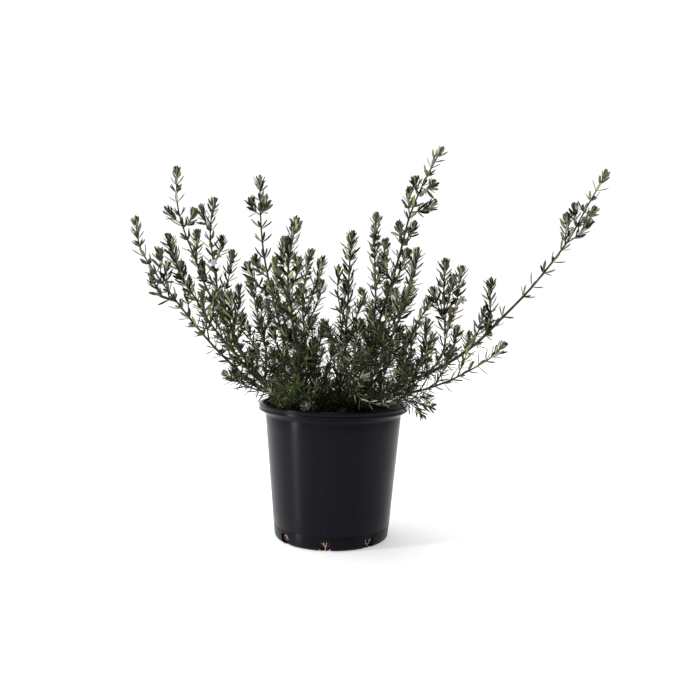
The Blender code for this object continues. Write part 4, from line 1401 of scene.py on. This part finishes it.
def mix_finish():
    """Composted bark: dark crumbs of several browns, darkened partly as painted shade under the foliage,
    with paler fibres.
    """
    finish = Finish("bark_mix_crumbs", 0.95, 0.2)
    crumbs = {"Vector": finish.position(), "Scale": 420.0}
    crumb, _ = finish.split(finish.node("ShaderNodeTexVoronoi", "Color", crumbs))
    fibres = finish.grain((900.0, 220.0, 500.0), 3.0, 0.6)
    colour = finish.cover(finish.ramp(crumb, MIX_BROWNS_AND_SHADE), fibres, ((0.58, 0.0), (0.72, 0.55)), MIX_FIBRE)
    finish.colour(colour)
    depth = finish.node("ShaderNodeTexVoronoi", "Distance", crumbs)
    finish.bump(finish.math("ADD", depth, fibres), 1.2 * MM, 0.8)
    return finish.material


def chip_finish():
    """Bark slivers, each of its own brown, darkened partly as painted shade under the foliage, with grain
    along them.
    """
    finish = Finish("bark_sliver", 0.9, 0.2)
    colour = finish.ramp(finish.noise(finish.position(), 160.0, 1.0), CHIP_BROWNS_AND_SHADE)
    grain = finish.grain((300.0, 1500.0, 1500.0), 2.0)
    finish.colour(finish.shade(colour, finish.ramp(grain, ((0.3, 0.6), (0.7, 1.3)))))
    finish.bump(grain, 0.5 * MM, 0.7)
    return finish.material


def root_finish():
    finish = Finish("pale_root", 0.75, 0.3)
    stain = finish.noise(finish.position(), 260.0)
    finish.colour(finish.ramp(stain, ROOT_COLOURS))
    finish.bump(stain, 0.2 * MM, 0.6)
    return finish.material


def petal_finish():
    """Pale lilac petals with veins towards the edge and brown-purple dots in the throat."""
    finish = Finish("petal", 0.6, 0.3)
    _, v = finish.place_map()
    colour = finish.ramp(v, ((0.0, PETAL_THROAT), (0.35, PETAL_INNER), (1.0, PETAL_EDGE)))
    veins = finish.noise(finish.scaled_map(60.0, 3.0), 1.0, 2.0)
    colour = finish.cover(colour, veins, ((0.5, 0.0), (0.75, 0.35)), PETAL_VEIN)
    dots = finish.ramp(finish.noise(finish.scaled_map(24.0, 14.0), 1.0, 1.0), ((0.56, 0.0), (0.62, 1.0)))
    throat = finish.ramp(v, ((0.3, 1.0), (0.55, 0.0)))
    finish.colour(finish.mix(finish.times(dots, throat), colour, PETAL_SPOT))
    finish.bump(veins, 0.1 * MM, 0.5)
    return finish.material


def floor_finish():
    finish = Finish("pale_floor", 0.9, 0.1)
    finish.shader.inputs["Emission Color"].default_value = (1, 1, 1, 1)
    finish.shader.inputs["Emission Strength"].default_value = FLOOR_GLOW
    tone = finish.noise(finish.position(), 1.5, 2.0)
    finish.colour(finish.ramp(tone, ((0.3, 0.86), (0.7, 0.9))))
    return finish.material


def build_floor():
    bm = bmesh.new()
    bmesh.ops.create_circle(bm, cap_ends=True, segments=96, radius=FLOOR_RADIUS)
    floor = object_from("studio_floor", bm, floor_finish())


def soft_box(name, place, size, power, colour):
    """A rectangular soft box that faces the middle of the plant."""
    lamp = bpy.data.lights.new(name, "AREA")
    lamp.shape = "RECTANGLE"
    lamp.size, lamp.size_y = size
    lamp.energy = power
    lamp.color = colour
    light = linked(name, lamp)
    light.location = place
    light.rotation_euler = (Vector(LIGHT_TARGET) - Vector(place)).to_track_quat("-Z", "Y").to_euler()


def overhead_light():
    """A broad even light from above, a little from behind and from the left."""
    lamp = bpy.data.lights.new("overhead", "SUN")
    lamp.energy = OVERHEAD
    lamp.angle = OVERHEAD_SPREAD
    linked("overhead", lamp).rotation_euler = Vector(OVERHEAD_WAY).to_track_quat("Z", "Y").to_euler()


def build_world():
    """White where the camera sees it, and a soft room for the light: bright behind, dim in front."""
    world = bpy.data.worlds.new("studio")
    world.use_nodes = True
    sky = Nodes(world.node_tree)
    sky.tree.nodes.clear()
    x, y = sky.split(sky.node("ShaderNodeTexCoord", "Generated"))
    depth = sky.node("ShaderNodeMapRange", 0, {"Value": y, "From Min": -1, "From Max": 1})
    fall = sky.math("POWER", depth, ROOM_FALL)
    strength = sky.node("ShaderNodeMapRange", 0, {"Value": fall, "To Min": ROOM_FRONT, "To Max": ROOM_BACK})
    across = {"Value": x, "From Max": ROOM_DIM_FROM, "To Min": 1, "To Max": ROOM_RIGHT}
    side = sky.node("ShaderNodeMapRange", 0, across)
    light = sky.times(strength, side)
    room = sky.node("ShaderNodeBackground", 0, {"Color": (*ROOM_COLOUR, 1), "Strength": light})
    white = sky.node("ShaderNodeBackground", 0, {"Color": (1, 1, 1, 1), "Strength": SEEN_WHITE})
    seen = sky.node("ShaderNodeLightPath", "Is Camera Ray")
    surface = sky.node("ShaderNodeMixShader", 0, {0: seen, 1: room, 2: white})
    output = sky.tree.nodes.new("ShaderNodeOutputWorld")
    sky.put(output.inputs["Surface"], surface)
    bpy.context.scene.world = world


def build_camera():
    lens = bpy.data.cameras.new("photo_camera")
    lens.lens = CAMERA_LENS
    camera = linked("photo_camera", lens)
    turn = Matrix.Rotation(math.pi / 2 - CAMERA_PITCH, 4, "X") @ Matrix.Rotation(CAMERA_ROLL, 4, "Z")
    camera.matrix_world = Matrix.Translation(Vector(CAMERA_PLACE) * MM) @ turn
    bpy.context.scene.camera = camera


def build_all():
    build_camera()
    build_world()
    build_floor()
    for name, (place, size, power, colour) in SOFT_BOXES.items():
        soft_box(name, place, size, power, colour)
    overhead_light()
    build_branches([bark_finish(), leaf_finish()])
    build_pot(plastic_finish())
    build_mix(mix_finish())
    build_chips(chip_finish())
    build_roots(root_finish())
    build_flowers(petal_finish())
    scene = bpy.context.scene
    scene.view_settings.view_transform = "Standard"
    scene.view_settings.look = "None"


build_all()
